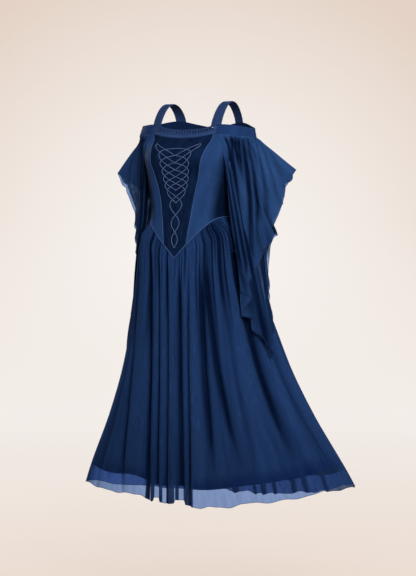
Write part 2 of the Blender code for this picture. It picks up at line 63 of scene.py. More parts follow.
# Neck band. Columns: degrees from centre front, top edge z, bottom edge z.
BAND_TOP = {"half_width": 0.222, "front_y": -0.102, "back_y": 0.098}
BAND_BOTTOM = {"half_width": 0.230, "front_y": -0.122, "back_y": 0.106}
BAND_EDGES = (
    (0, -0.1035, -0.1345),
    (18, -0.0980, -0.1290),
    (33, -0.0840, -0.1185),
    (60, -0.0850, -0.1205),
    (90, -0.0870, -0.1210),
    (118, -0.0780, -0.1130),
    (147, -0.0620, -0.0980),
    (165, -0.0730, -0.1090),
    (180, -0.0820, -0.1180),
)
TRIM_END_DEG = 34.0
SLOTS_END_DEG = 31.0
SLOT_COUNT = 22
SLOT_SHARE_OF_PITCH = 0.52
SLOT_TOP_SHARE = 0.18
SLOT_BOTTOM_SHARE = 0.50
# Shares of the way down the band for the openwork's cords and the stitches, and the pitch
# of the band satin's faint rows.
OPENWORK_CORDS = (0.06, 0.12, 0.56, 0.62, 0.94)
BAND_STITCH_ROWS = (0.10, 0.17, 0.83, 0.90)
BAND_ROWS = 0.0082

# Straps.
STRAP_X = 0.121
STRAP_WIDTH = 0.037
STRAP_ROUNDNESS = 1.5
STRAP_PEAK_SET_BACK = 1.12
BRAID_STRANDS = 8
BRAID_CROSSINGS = 13
BRAID_REACH = 0.82
BRAID_EDGE = 0.92
BRAID_LIFT = 0.0006
BRAID_OVER_UNDER = 0.0004

# Bodice. Columns: drop below the strap tops, half width, front y, back y, fullness.
TORSO = (
    (0.080, 0.230, -0.122, 0.106, 0.00),
    (0.119, 0.230, -0.122, 0.106, 0.00),
    (0.136, 0.224, -0.125, 0.106, 0.01),
    (0.165, 0.198, -0.149, 0.105, 0.06),
    (0.205, 0.180, -0.164, 0.103, 0.12),
    (0.265, 0.167, -0.160, 0.092, 0.12),
    (0.335, 0.152, -0.157, 0.074, 0.12),
    (0.405, 0.147, -0.160, 0.062, 0.12),
    (0.460, 0.160, -0.165, 0.070, 0.12),
    (0.560, 0.190, -0.172, 0.100, 0.10),
)
CUP_DEPTH = 0.016
CUP_X = 0.092
CUP_Z = -0.207
CUP_WIDTH = 0.045
CUP_HEIGHT = 0.058
# Princess seam. Columns: drop, half width of the centre panel.
PRINCESS = (
    (0.100, 0.1235),
    (0.135, 0.1180),
    (0.200, 0.1055),
    (0.262, 0.0895),
    (0.334, 0.0705),
    (0.405, 0.0585),
    (0.500, 0.0465),
    (0.570, 0.0420),
)
ARMHOLE_START_X = 0.138
ARMHOLE_LOW_Z = -0.222
ARMHOLE_STEEPNESS = 0.85
HIGHEST_SEAM_Z = -0.120
WAIST_Z = -0.403
WAIST_POINT_DROP = 0.152
WAIST_POINT_HALF_WIDTH = 0.146
WAIST_CORNER_SHARPNESS = 15
WAIST_STEPS = 12
WAIST_PIPING_POINTS = 720

# Skirt. Columns: drop, half width, centre front y, centre back y, fullness.
SKIRT = (
    (0.400, 0.160, -0.163, 0.072, 0.08),
    (0.450, 0.187, -0.167, 0.090, 0.07),
    (0.500, 0.205, -0.171, 0.108, 0.05),
    (0.560, 0.217, -0.173, 0.124, 0.03),
    (0.620, 0.229, -0.174, 0.146, 0.00),
    (0.690, 0.245, -0.174, 0.178, 0.00),
    (0.810, 0.275, -0.174, 0.236, 0.00),
    (0.960, 0.322, -0.174, 0.294, 0.00),
    (1.110, 0.388, -0.174, 0.354, 0.00),
    (1.320, 0.500, -0.174, 0.442, 0.00),
    (1.450, 0.556, -0.174, 0.490, 0.00),
)
FOLD_COUNT = 44
HEM_WAVE = 0.004
HEM_WAVES_ROUND = (7, 3)
LINING_SHORTER = 0.062
FRONT_BUNCHING = 0.26
FLARE_HEIGHT = 0.060
# Columns: degrees round from centre front, to the wearer's left above 0, and hem z.
SKIRT_HEM = (
    (-180, -1.440),
    (-150, -1.437),
    (-130, -1.427),
    (-110, -1.413),
    (-90, -1.396),
    (-68, -1.380),
    (-45, -1.377),
    (-30, -1.385),
    (-17, -1.391),
    (-8, -1.411),
    (0, -1.416),
    (15, -1.424),
    (30, -1.404),
    (45, -1.392),
    (60, -1.371),
    (75, -1.356),
    (90, -1.352),
    (120, -1.382),
    (150, -1.415),
    (180, -1.440),
)
# Columns: share of the way down, height of a ridge as a share of a fold's width.
SKIRT_ROWS = (
    (0.000, 0.045),
    (0.045, 0.130),
    (0.130, 0.150),
    (0.270, 0.150),
    (0.470, 0.140),
    (0.680, 0.125),
    (0.860, 0.115),
    (1.000, 0.120),
)

# Angel sleeve, wearer's left. Columns: degrees round from its outer point by way of the
# front, then the x, y and z of its hem.
SLEEVE_HEM = (
    (0, 0.369, 0.043, -0.242),
    (26, 0.334, 0.020, -0.328),
    (48, 0.315, 0.002, -0.420),
    (70, 0.294, -0.024, -0.530),
    (90, 0.262, -0.058, -0.605),
    (110, 0.228, -0.095, -0.680),
    (134, 0.250, -0.098, -0.775),
    (158, 0.296, -0.066, -0.855),
    (180, 0.316, -0.034, -0.880),
    (202, 0.298, 0.022, -0.820),
    (226, 0.260, 0.068, -0.735),
    (250, 0.236, 0.094, -0.650),
    (276, 0.232, 0.106, -0.530),
    (306, 0.255, 0.104, -0.410),
    (336, 0.308, 0.078, -0.310),
    (360, 0.369, 0.043, -0.242),
)
SLEEVE_BAND_FRONT_DEG = 36.9
SLEEVE_BAND_BACK_DEG = 143.1
SLEEVE_SEAM_GAP = 0.0009
# How the sleeves differ: the right one hangs further back below its outer point, with
# smaller ruffles, and the cloth above that point swells up on the left and sags on the right.
RIGHT_SLEEVE_SWING_BACK = 0.080
RIGHT_RUFFLES = 0.55
LEFT_SLEEVE_LIFT = 0.013
RIGHT_SLEEVE_LIFT = -0.006
SWING_HEIGHT = 0.140
# The neckline's drop towards the wearer's left, for each metre aside, and where it fades.
LEAN = 0.030
LEAN_FADES_FROM_Z = -0.150
LEAN_FADE_HEIGHT = 0.110
LEAN_FULL_AT_Z = -0.080
LEAN_MORE_BEHIND = 1.5
LEAN_FRONT_Y = -0.100
LEAN_DEPTH = 0.200

# Fine sheets: how many points they have round and down.
SKIRT_STEPS_PER_FOLD = 32
SKIRT_FINE_ROWS = 104
LINING_FINE_COLUMNS = 704
LINING_FINE_ROWS = 60
SLEEVE_FINE_COLUMNS = 480
SLEEVE_FINE_ROWS = 96
# How far the lining hangs behind the folds, how much the hems waver up and down, and how
# far up from its hem a sleeve is a single sheer layer in places.
LINING_BEHIND_FOLDS = 0.0075
LINING_HEM_WAVER = 0.006
SKIRT_HEM_WAVER = 0.005
HEM_ROLL_RADIUS = 0.0008
SHEER_REACH = 0.040
# How dark the painted shade on the inner face of made-up cloth is, and the lightest that a fold's
# painted light can be.
INNER_FACE_SHADE = 0.45
LIGHTEST = 1.2
MIRROR = np.array([-1, 1, 1])
# Height of the band's puckers and swell, and of the drag lines in the bodice.
FINE_PUCKER = 0.00035
BROAD_PUCKER = 0.0005
BAND_SWELL = 0.0005
VELVET_DRAG_LINES = 0.0008
SATIN_DRAG_LINES = 0.0010

# Long folds of the skirt. Columns: degrees round at the waist, degrees the line ends at by
# the hem, half width of the trough, its depth, share of the way down by which it is full
# and by which it has faded.
LONG_FOLDS = (
    (-66, -40, 0.0110, 0.011, 0.25, 1.15),
    (-64, -59, 0.0160, 0.005, 0.60, 1.20),
    (-36, -22, 0.0100, 0.017, 0.10, 1.40),
    (-20.5, -14.5, 0.0052, 0.014, 0.10, 1.40),
    (-8, -6.5, 0.0050, 0.012, 0.12, 1.40),
    (6.5, 6.5, 0.0095, 0.018, 0.22, 1.40),
    (17.5, 13.5, 0.0048, 0.011, 0.22, 1.40),
    (30.5, 30, 0.0120, 0.018, 0.30, 0.95),
    (35.5, 45.5, 0.0115, 0.016, 0.24, 0.93),
    (56, 50, 0.0120, 0.006, 0.25, 1.05),
    (70, 68, 0.0130, 0.018, 0.22, 0.97),
    (83, 85, 0.0140, 0.006, 0.50, 1.05),
    (98, 103, 0.0120, 0.014, 0.20, 1.10),
    (113, 110, 0.0100, 0.009, 0.15, 0.90),
    (124, 131, 0.0130, 0.017, 0.20, 1.20),
    (141, 144, 0.0110, 0.012, 0.15, 1.40),
    (155, 152, 0.0090, 0.015, 0.10, 1.40),
    (167, 168, 0.0070, 0.013, 0.12, 1.40),
    (176, 178, 0.0095, 0.017, 0.10, 1.40),
    (188, 186, 0.0060, 0.012, 0.15, 1.40),
    (199, 202, 0.0100, 0.016, 0.12, 1.40),
    (214, 218, 0.0120, 0.014, 0.20, 1.10),
    (229, 226, 0.0130, 0.017, 0.25, 1.20),
    (246, 252, 0.0110, 0.009, 0.20, 0.95),
    (259, 262, 0.0130, 0.015, 0.22, 1.10),
    (277, 279, 0.0140, 0.007, 0.40, 1.05),
)
# Trough depth at which a skirt fold's painted shade is full.
LONG_FOLD_FULL = 0.016
# Pleats that hang folded double down to the hem, and those that end higher, between these
# degrees at the waist.
DOUBLED_PLEATS = ((-24.3, -22.7), (-20, -17), (-13, -10), (-7, 0.5), (1.7, 3.8), (9, 16.2))
PLEATED_DEG = (-24.5, 17.0)
# Degrees at the waist where the top of the skirt has a painted shadow from the sleeve.
SLEEVE_SHADOW_DEG = (38, 66)
RAISED_PLEATS = ((-16.8, -13.4), (1.6, 8.9))
RAISED_PLEAT_RISE = 0.013
GATHERS_ROUND = 58
FINE_GATHERS_ROUND = 136

# Folds of the sleeve, wearer's left. Columns: degrees at the band, degrees at the hem, half
# width in degrees, depth, share of the way down by which it is full and has faded.
SLEEVE_FOLDS = (
    (-12, 23, 3.2, 0.0035, 0.15, 1.20),
    (-6, 41, 3.4, 0.0045, 0.10, 1.10),
    (3, 61, 4.0, 0.0060, 0.06, 1.05),
    (15, 68, 3.0, 0.0050, 0.05, 0.60),
    (25, 80, 4.4, 0.0085, 0.06, 1.00),
    (38, 90, 4.0, 0.0085, 0.06, 1.15),
    (50, 98, 3.0, 0.0070, 0.05, 0.50),
    (59, 96, 2.4, 0.0065, 0.05, 0.44),
    (68, 105, 3.6, 0.0090, 0.06, 1.20),
    (78, 106, 2.4, 0.0065, 0.05, 0.48),
    (87, 116, 3.2, 0.0090, 0.45, 1.10),
    (97, 128, 4.4, 0.0060, 0.45, 1.00),
    (113, 141, 5.0, 0.0080, 0.10, 1.20),
    (133, 153, 5.5, 0.0070, 0.12, 1.10),
    (153, 163, 5.0, 0.0085, 0.10, 1.20),
    (174, 177, 6.0, 0.0070, 0.15, 1.20),
    (196, 194, 5.0, 0.0085, 0.10, 1.10),
    (214, 208, 6.0, 0.0060, 0.15, 1.20),
    (233, 229, 5.5, 0.0085, 0.10, 1.20),
    (256, 250, 5.0, 0.0070, 0.12, 1.00),
    (277, 272, 5.5, 0.0090, 0.08, 1.20),
    (298, 290, 4.5, 0.0070, 0.10, 1.10),
    (315, 306, 5.0, 0.0085, 0.08, 1.20),
    (331, 322, 4.0, 0.0060, 0.12, 0.90),
    (341, 339, 3.6, 0.0045, 0.15, 1.20),
)
# Trough depth at which a sleeve fold's painted shade is full.
SLEEVE_FOLD_FULL = 0.0085
SLEEVE_GATHERS = 52
# Between these degrees the sleeve has fewer gathers, waves aside or a calm hem. Behind, its
# waves are largest.
FEWER_GATHERS_DEG = (86, 124)
WAVES_ASIDE_DEG = (14, 96)
CALM_HEM_DEG = (108, 160)
LARGEST_WAVES_DEG = 300
HEM_WAVE_ASIDE = 0.0075
SLEEVE_WAVES = 21
RUFFLE_OUT = 0.0120
RUFFLE_OUT_MORE_BEHIND = 0.0050
RUFFLE_ASIDE = 0.0035
RUFFLE_UP = 0.0080
# Zigzag of the sleeve's front hem. Columns: degrees at the hem, then how far it is moved
# aside, behind the layer above it and up. Aside is this far round from the wearer's left.
ZIGZAG_TURN_DEG = 30.0
ZIGZAG = (
    (34, 0.000, 0.000, 0.000),
    (50, -0.007, 0.000, 0.000),
    (70, -0.010, 0.000, 0.000),
    (90, -0.006, -0.004, 0.000),
    (104, -0.001, -0.010, 0.000),
    (110, -0.005, -0.012, 0.007),
    (119, 0.038, -0.001, 0.021),
    (130, -0.014, 0.009, 0.004),
    (139, 0.016, 0.014, 0.026),
    (150, -0.021, 0.017, 0.028),
    (158, -0.003, 0.015, 0.026),
    (167, 0.004, 0.010, 0.010),
    (180, 0.000, 0.000, 0.000),
    (195, -0.018, 0.000, 0.000),
    (210, -0.024, 0.000, 0.000),
    (228, -0.020, 0.000, 0.000),
    (240, -0.005, 0.000, 0.000),
    (250, 0.000, 0.000, 0.000),
)

# Interlaced cord on the velvet. Columns: share of the way down, half width.
PLAIT_WIDTHS = (
    (0.00, 0.1010),
    (0.10, 0.0680),
    (0.22, 0.0570),
    (0.40, 0.0455),
    (0.52, 0.0300),
    (0.65, 0.0205),
    (0.80, 0.0150),
    (1.00, 0.0100),
)
PLAIT_TOP_Z = -0.152
PLAIT_BOTTOM_Z = -0.520
PLAIT_CENTRE_DROP = 0.020
PLAIT_TURNS = 2.0 + 2.0 / 3.0
PLAIT_STRANDS = 6
PLAIT_FIRST_SPEED = 0.72
PLAIT_START_DEG = 30.0
PLAIT_PAIR_ENDS = {0: 1.0, 1: 0.44, 2: 0.60}
PLAIT_POINTS = 260
CORD_RADIUS = 0.0011
CORD_LIFT = 0.0007

# Camera: it stands 30 degrees round towards the wearer's left, level with the skirt.
CAMERA_TURN_DEG = 30.0
CAMERA_DISTANCE = 7.0
CAMERA_Z = -0.630
AIM_RIGHT = 0.0336
AIM_Z = -0.6603
FRAME_HEIGHT_AT_AXIS = 2.056
SENSOR_HEIGHT_MM = 24.0

# Studio: a round floor that curves up into a wall, with a painted pool of light on the wall behind
# the gown, painted shade on the floor towards the gown, a painted glow seen only by the camera,
# and the dim air of the room.
FLOOR_Z = -1.75
STUDIO_RADIUS = 10.0
STUDIO_COVE = 2.5
STUDIO_HEIGHT = 6.0
STUDIO_COVE_STEPS = 12
STUDIO_SIDES = 96
STUDIO_GLOW = 1.045
STUDIO_GLOW_SHARE = 0.93
# Colours of the painted pool of light and of the painted shade round it.
STUDIO_POOL_LIGHT = (0.945, 0.915, 0.890, 1)
STUDIO_PAINTED_SHADE = (0.780, 0.651, 0.565, 1)
POOL_Z = -0.70
POOL_REACH = 2.9
AIR_COLOUR = (0.84, 0.82, 0.80, 1)
AIR_STRENGTH = 0.10
# Lights. Columns: name, degrees round from centre front, distance, z, size, power, colour.
LIGHTS = (
    ("key", 44, 5.0, 1.9, 1.8, 250, (1.0, 0.985, 0.96)),
    ("fill", -35, 5.5, 0.6, 3.0, 34, (0.92, 0.96, 1.0)),
    ("top", 20, 1.0, 3.4, 2.0, 42, (1.0, 0.98, 0.96)),
    ("back_left", 235, 5.0, 1.2, 2.5, 52, (0.95, 0.97, 1.0)),
    ("back_right", 130, 5.0, 1.2, 2.5, 56, (0.95, 0.97, 1.0)),
)
LIGHT_AIM_Z = -0.55


def read_table(table, at):
    """The columns after the first, read off a smooth curve at any value of the first."""
    table = np.array(table, float)
    keys, values = table[:, 0], table[:, 1:]
    slopes = np.gradient(values, keys, axis=0)
    at = np.clip(np.asarray(at, float), keys[0], keys[-1])
    low = np.clip(np.searchsorted(keys, at) - 1, 0, len(keys) - 2)
    span = (keys[low + 1] - keys[low])[..., None]
    u = (at - keys[low])[..., None] / span
    rise = values[low] * (1 + 2 * u) * (1 - u) ** 2 + values[low + 1] * u**2 * (3 - 2 * u)
    turn = slopes[low] * u * (1 - u) ** 2 - slopes[low + 1] * u**2 * (1 - u)
    return rise + span * turn


def unit(vectors):
    return vectors / np.linalg.norm(vectors, axis=-1, keepdims=True)


def smoothstep(low, high, value):
    share = np.clip((value - low) / (high - low), 0, 1)
    return share * share * (3 - 2 * share)


def wander(seed, knots, turns):
    """A smooth uneven wave from -1 to 1 that repeats once round, with this many knots."""
    values = np.random.default_rng(seed).uniform(-1, 1, knots)
    place = np.mod(turns, 1) * knots
    low = np.floor(place).astype(int)
    share = smoothstep(0, 1, place - low)
    return values[low % knots] * (1 - share) + values[(low + 1) % knots] * share


def between(at, keys, vectors):
    """Vectors read off straight lines between those given at the keys."""
    return np.stack([np.interp(at, keys, part) for part in vectors.T], axis=-1)


def signed_degrees(degrees):
    """The same direction as degrees from -180 to 180."""
    return np.mod(degrees + 180, 360) - 180


def oval(angle, half_width, front_y, back_y, fullness=0.0):
    sine, cosine = np.sin(angle), np.cos(angle)
    x = half_width * sine * (1 + fullness * cosine**2)
    y = (front_y + back_y) / 2 - (back_y - front_y) / 2 * cosine * (1 + fullness * sine**2)
    return x, y


def from_front(degrees):
    """The angle from centre front on either side, from 0 to 180 degrees."""
    return 180 - np.abs(180 - np.mod(degrees, 360))


def band_point(degrees, share):
    """A point of the neck band's middle surface, share 0 at its top edge."""
    edges = read_table(BAND_EDGES, from_front(degrees))
    size = {key: BAND_TOP[key] * (1 - share) + BAND_BOTTOM[key] * share for key in BAND_TOP}
    x, y = oval(np.radians(degrees), **size)
    z = edges[..., 0] * (1 - share) + edges[..., 1] * share
    return np.stack([x, y, z], axis=-1)


def body_point(table, angle, z):
    """A point of the bodice's or the skirt's smooth surface at this angle and height."""
    x, y = oval(angle, *np.moveaxis(read_table(table, -z), -1, 0))
    away = (np.abs(x) - CUP_X) / CUP_WIDTH
    above = (z - CUP_Z) / CUP_HEIGHT
    front = np.clip(np.cos(angle), 0, 1)
    y = y - CUP_DEPTH * front * np.exp(-(away**2) - above**2)
    return np.stack(np.broadcast_arrays(x, y, z), axis=-1)


def body_normal(angle, z, step=0.001):
    along = body_point(TORSO, angle + step, z) - body_point(TORSO, angle - step, z)
    up = body_point(TORSO, angle, z + step) - body_point(TORSO, angle, z - step)
    return unit(np.cross(along, up))


def angle_at_x(x, z, samples=400):
    """The angle at which the bodice's front half reaches this x at this height."""
    x, z = np.broadcast_arrays(np.asarray(x, float), np.asarray(z, float))
    size = read_table(TORSO, -z)
    tries = np.linspace(0, math.pi / 2, samples)
    widths = np.sin(tries) * (1 + np.multiply.outer(size[..., 3], np.cos(tries) ** 2))
    shares = np.ravel(x / size[..., 0])
    rows = widths.reshape(-1, samples)
    return np.reshape([np.interp(s, row, tries) for s, row in zip(shares, rows)], x.shape)


def waist_at(angle):
    """Height of the waist seam: pointed at centre front, level at the sides and the back."""
    z = np.full(np.shape(angle), WAIST_Z, float)
    for _ in range(WAIST_STEPS):
        size = read_table(TORSO, -z)
        x = np.abs(oval(angle, *np.moveaxis(size, -1, 0))[0])
        distance = np.where(np.cos(angle) > 0, x, 2 * size[..., 0] - x)
        nearness = 1 - distance / WAIST_POINT_HALF_WIDTH
        bend = WAIST_CORNER_SHARPNESS
        z = WAIST_Z - WAIST_POINT_DROP * np.log1p(np.exp(bend * nearness)) / bend
    return z


def seam_allowance(angle, step=0.001):
    """How far above or below the waist seam's middle a sewn edge ends, piping between."""
    half = math.pi - np.abs(math.pi - np.mod(angle, 2 * math.pi))
    near, far = half + step, half + 3 * step
    run = body_point(TORSO, far, waist_at(far)) - body_point(TORSO, near, waist_at(near))
    slope = run[..., 2] / np.hypot(run[..., 0], run[..., 1])
    return PIPING_RADIUS * np.sqrt(1 + slope**2)


def bodice_top(angle):
    """Height of the bodice's upper edge: along the band, then down round the armhole."""
    size = from_front(np.degrees(angle))
    below_band = read_table(BAND_EDGES, size)[..., 1]
    start = math.degrees(math.asin(ARMHOLE_START_X / BAND_BOTTOM["half_width"]))
    share = np.clip((np.minimum(size, 180 - size) - start) / (90 - start), 0, 1)
    dip = np.sin(share * math.pi / 2) ** ARMHOLE_STEEPNESS
    return below_band * (1 - dip) + ARMHOLE_LOW_Z * dip


def princess_x(z):
    return read_table(PRINCESS, -z)[..., 0]


def leaned(points):
    """The points with the neckline's slight drop towards the wearer's left, more behind."""
    x, y, z = points[..., 0], points[..., 1], points[..., 2]
    fade = 1 - np.clip((LEAN_FADES_FROM_Z - z) / LEAN_FADE_HEIGHT, 0, 1)
    fade = fade * np.clip(z / LEAN_FULL_AT_Z, 0, 1)
    fade = fade * (1 + LEAN_MORE_BEHIND * np.clip((y - LEAN_FRONT_Y) / LEAN_DEPTH, 0, 1))
    moved = points.copy()
    moved[..., 2] -= LEAN * x * fade
    return moved


def grid_normals(middle, closed):
    """Outward direction at each point of a grid whose rows run down the cloth."""
    if closed:
        along = np.roll(middle, -1, axis=1) - np.roll(middle, 1, axis=1)
    else:
        along = np.gradient(middle, axis=1)
    return unit(np.cross(np.gradient(middle, axis=0), along))


def lengths_along(points, axis):
    """Distance run along a path or grid of points from its first point, row or column."""
    steps = np.linalg.norm(np.diff(points, axis=axis), axis=-1)
    start = np.zeros_like(np.take(steps, [0], axis=axis))
    return np.concatenate([start, np.cumsum(steps, axis=axis)], axis=axis)


def add_to_scene(name, data, place=(0, 0, 0), aim=None):
    """An object with this data at a place, turned towards a point where one is given."""
    item = bpy.data.objects.new(name, data)
    bpy.context.collection.objects.link(item)
    item.location = place
    if aim is not None:
        item.rotation_euler = (Vector(aim) - item.location).to_track_quat("-Z", "Y").to_euler()
    return item


def add_mesh(name, points, faces, material, flat_uv=None, painted=None):
    """A smooth mesh piece that rides on the gown, with cloth coordinates in metres."""
    mesh = bpy.data.meshes.new(name)
    mesh.from_pydata(leaned(np.asarray(points)).tolist(), [], faces)
    mesh.validate()
    mesh.shade_smooth()
    if flat_uv is not None:
        corners = np.zeros(len(mesh.loops), dtype=np.int32)
        mesh.loops.foreach_get("vertex_index", corners)
        layer = mesh.uv_layers.new(name="cloth")
        layer.data.foreach_set("uv", np.asarray(flat_uv)[corners].ravel())
    for label, values in (painted or {}).items():
        attribute = mesh.attributes.new(label, "FLOAT", "POINT")
        attribute.data.foreach_set("value", np.asarray(values, dtype=np.float32).ravel())
    piece = add_to_scene(name, mesh)
    mesh.materials.append(material)
    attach(piece, "root")
    return piece


def sew_in(piece, node, *sewn_on):
    """Hides the solid of the node that the piece and what is sewn on it stand in for."""
    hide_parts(node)


def grid_faces(rows, columns, closed=False, open_cells=()):
    quads = []
    for row in range(rows - 1):
        for column in range(columns if closed else columns - 1):
            if (row, column) not in open_cells:
                following = (column + 1) % columns
                top, low = row * columns, (row + 1) * columns
                quads.append((top + column, low + column, low + following, top + following))
    return quads


def cloth_uv(down, across):
    """Cloth coordinates of a grid's points, from the lengths run down and across it."""
    rows, columns = down.shape
    return np.stack(np.meshgrid(across[rows // 2], down[:, columns // 2]), axis=-1).reshape(-1, 2)


def add_sheet(name, grid, material, closed=False, painted=None):
    """A thin open sheet of cloth on a grid of points."""
    uv = cloth_uv(lengths_along(grid, 0), lengths_along(grid, 1))
    faces = grid_faces(*grid.shape[:2], closed)
    return add_mesh(name, grid.reshape(-1, 3), faces, material, uv, painted)


def rounded_edge(distance, thickness):
    """Share of the full thickness at this distance in from a turned edge."""
    share = np.clip(distance / thickness, 0, 1)
    return np.maximum(np.sqrt(1 - (1 - share) ** 2), 0.3)


def add_wall(name, middle, normals, thickness, material, open_cells=(), shadow=None):
    """A closed wall with turned, rounded edges: a made-up piece's double cloth, with painted shadow."""
    rows, columns = middle.shape[:2]
    down = lengths_along(middle, 0)
    amount = rounded_edge(np.minimum(down, down[-1:] - down), thickness)
    across = lengths_along(middle, 1)
    to_side = np.minimum(across, across[:, -1:] - across)
    amount = np.minimum(amount, rounded_edge(to_side, thickness))
    half = (amount * thickness / 2)[..., None]
    outer = (middle + normals * half).reshape(-1, 3)
    inner = (middle - normals * half).reshape(-1, 3)
    count = rows * columns
    quads = grid_faces(rows, columns, False, open_cells)
    sides = {(quad[i], quad[(i + 1) % 4]) for quad in quads for i in range(4)}
    faces = list(quads)
    faces += [tuple(count + corner for corner in reversed(quad)) for quad in quads]
    faces += [(b, a, count + a, count + b) for a, b in sorted(sides) if (b, a) not in sides]
    used = sorted({corner for face in faces for corner in face})
    place = {corner: number for number, corner in enumerate(used)}
    faces = [tuple(place[corner] for corner in face) for face in faces]
    uv = cloth_uv(down, across)
    points = np.concatenate([outer, inner])[used]
    # Painted shadow: the outer face takes the given shadow, the inner face at least the inner face's
    # painted shade.
    painted_shade = np.zeros((rows, columns)) if shadow is None else shadow
    painted = {"shadow": np.concatenate([painted_shade.ravel(), np.maximum(painted_shade.ravel(), INNER_FACE_SHADE)])[used]}
    return add_mesh(name, points, faces, material, np.concatenate([uv, uv])[used], painted)


def add_tubes(name, paths, radius, sides, material, closed=False):
    """Round cords along paths, each a pair of points and outward directions, in one mesh."""
    points, faces, uv, start = [], [], [], 0
    for path, out in paths:
        if closed:
            tangent = unit(np.roll(path, -1, axis=0) - np.roll(path, 1, axis=0))
        else:
            tangent = unit(np.gradient(path, axis=0))
        out = unit(out - tangent * np.sum(out * tangent, axis=1)[:, None])
        across = np.cross(tangent, out)
        count = len(path)
        turns = np.arange(sides) * 2 * math.pi / sides
        ring = out[:, None] * np.cos(turns)[:, None] + across[:, None] * np.sin(turns)[:, None]
        points.append((path[:, None] + radius * ring).reshape(-1, 3))
        uv.append(np.stack(np.meshgrid(turns * radius, lengths_along(path, 0)), axis=-1).reshape(-1, 2))
        for place in range(count if closed else count - 1):
            a, b = start + place * sides, start + (place + 1) % count * sides
            for side in range(sides):
                beside = (side + 1) % sides
                faces.append((a + side, a + beside, b + beside, b + side))
        if not closed:
            faces.append(tuple(start + side for side in reversed(range(sides))))
            faces.append(tuple(start + (count - 1) * sides + side for side in range(sides)))
        start += count * sides
    return add_mesh(name, np.concatenate(points), faces, material, np.concatenate(uv))


def add_stitches(name, paths, material):
    """Rows of small stitches lying on the cloth, joined into one mesh."""
    points, faces = [], []
    for path, out in paths:
        run = lengths_along(path, 0)
        for middle in np.arange(STITCH_PITCH / 2, run[-1], STITCH_PITCH):
            here, ahead = between(middle - 1e-4, run, path), between(middle + 1e-4, run, path)
            normal = unit(between(middle, run, out))
            tangent = unit(ahead - here)
            wide = np.cross(tangent, normal) * STITCH_RADIUS * 2
            high = normal * STITCH_RADIUS
            half = tangent * STITCH_LENGTH / 2
            centre = (here + ahead) / 2 + high
            first = len(points)
            points += [centre - half, centre + half]
            points += [centre + wide, centre + high, centre - wide, centre - high]
            for side in range(4):
                a, b = first + 2 + side, first + 2 + (side + 1) % 4
                faces += [(first, a, b), (first + 1, b, a)]
    return add_mesh(name, np.array(points), faces, material)


class Look:
    """A material's node tree, with short ways to add and join nodes."""

    def __init__(self, name):
        self.material = bpy.data.materials.new(name)
        self.material.use_nodes = True
        self.nodes = self.material.node_tree.nodes
        self.links = self.material.node_tree.links
        self.shader = self.nodes["Principled BSDF"]

    def node(self, kind, inputs=None, **settings):
        node = self.nodes.new("ShaderNode" + kind)
        for key, value in settings.items():
            setattr(node, key, value)
        for key, value in (inputs or {}).items():
            self.give(node.inputs[key], value)
        return node

    def give(self, socket, value):
        if isinstance(value, bpy.types.NodeSocket):
            self.links.new(value, socket)
        else:
            socket.default_value = value

    def set(self, **sockets):
        """Gives the main shader values or links, with _ for each space in a socket's name."""
        for key, value in sockets.items():
            self.give(self.shader.inputs[key.replace("_", " ")], value)

    def cloth(self):
        """Cloth coordinates in metres."""
        return self.node("UVMap", uv_map="cloth").outputs["UV"]

    def stretched(self, vector, scale):
        return self.node("Mapping", {"Vector": vector, "Scale": scale}).outputs["Vector"]

    def noise(self, vector, scale, detail):
        inputs = {"Vector": vector, "Scale": scale, "Detail": detail}
        return self.node("TexNoise", inputs).outputs["Fac"]

    def wave(self, vector, pitch, direction, bend=0.0):
        """Bands one pitch apart along X, Y or DIAGONAL of the cloth."""
        inputs = {"Vector": vector, "Scale": WAVE_SCALE / pitch, "Distortion": bend}
        return self.node("TexWave", inputs, bands_direction=direction).outputs["Fac"]

    def maths(self, operation, first, second):
        return self.node("Math", {0: first, 1: second}, operation=operation).outputs[0]

    def mix(self, amount, first, second):
        """A number between two, by an amount from 0 to 1."""
        return self.node("Mix", {0: amount, 2: first, 3: second}).outputs[0]

    def blend(self, amount, first, second):
        """A colour between two, by an amount from 0 to 1."""
        inputs = {0: amount, 6: first, 7: second}
        return self.node("Mix", inputs, data_type="RGBA").outputs[2]

    def scaled(self, value, amount):
        return self.maths("MULTIPLY", value, amount)

    def ramp(self, value, low, high):
        """The value stretched so that low becomes 0 and high becomes 1."""
        node = self.node("MapRange", {"Value": value, "From Min": low, "From Max": high})
        return node.outputs[0]

    def show(self, shader):
        """Makes this shader node the surface of the material."""
        self.links.new(shader.outputs[0], self.nodes["Material Output"].inputs["Surface"])

    def bump(self, height, distance, strength, before=None):
        inputs = {"Height": height, "Distance": distance, "Strength": strength}
        if before is not None:
            inputs["Normal"] = before
        return self.node("Bump", inputs).outputs["Normal"]


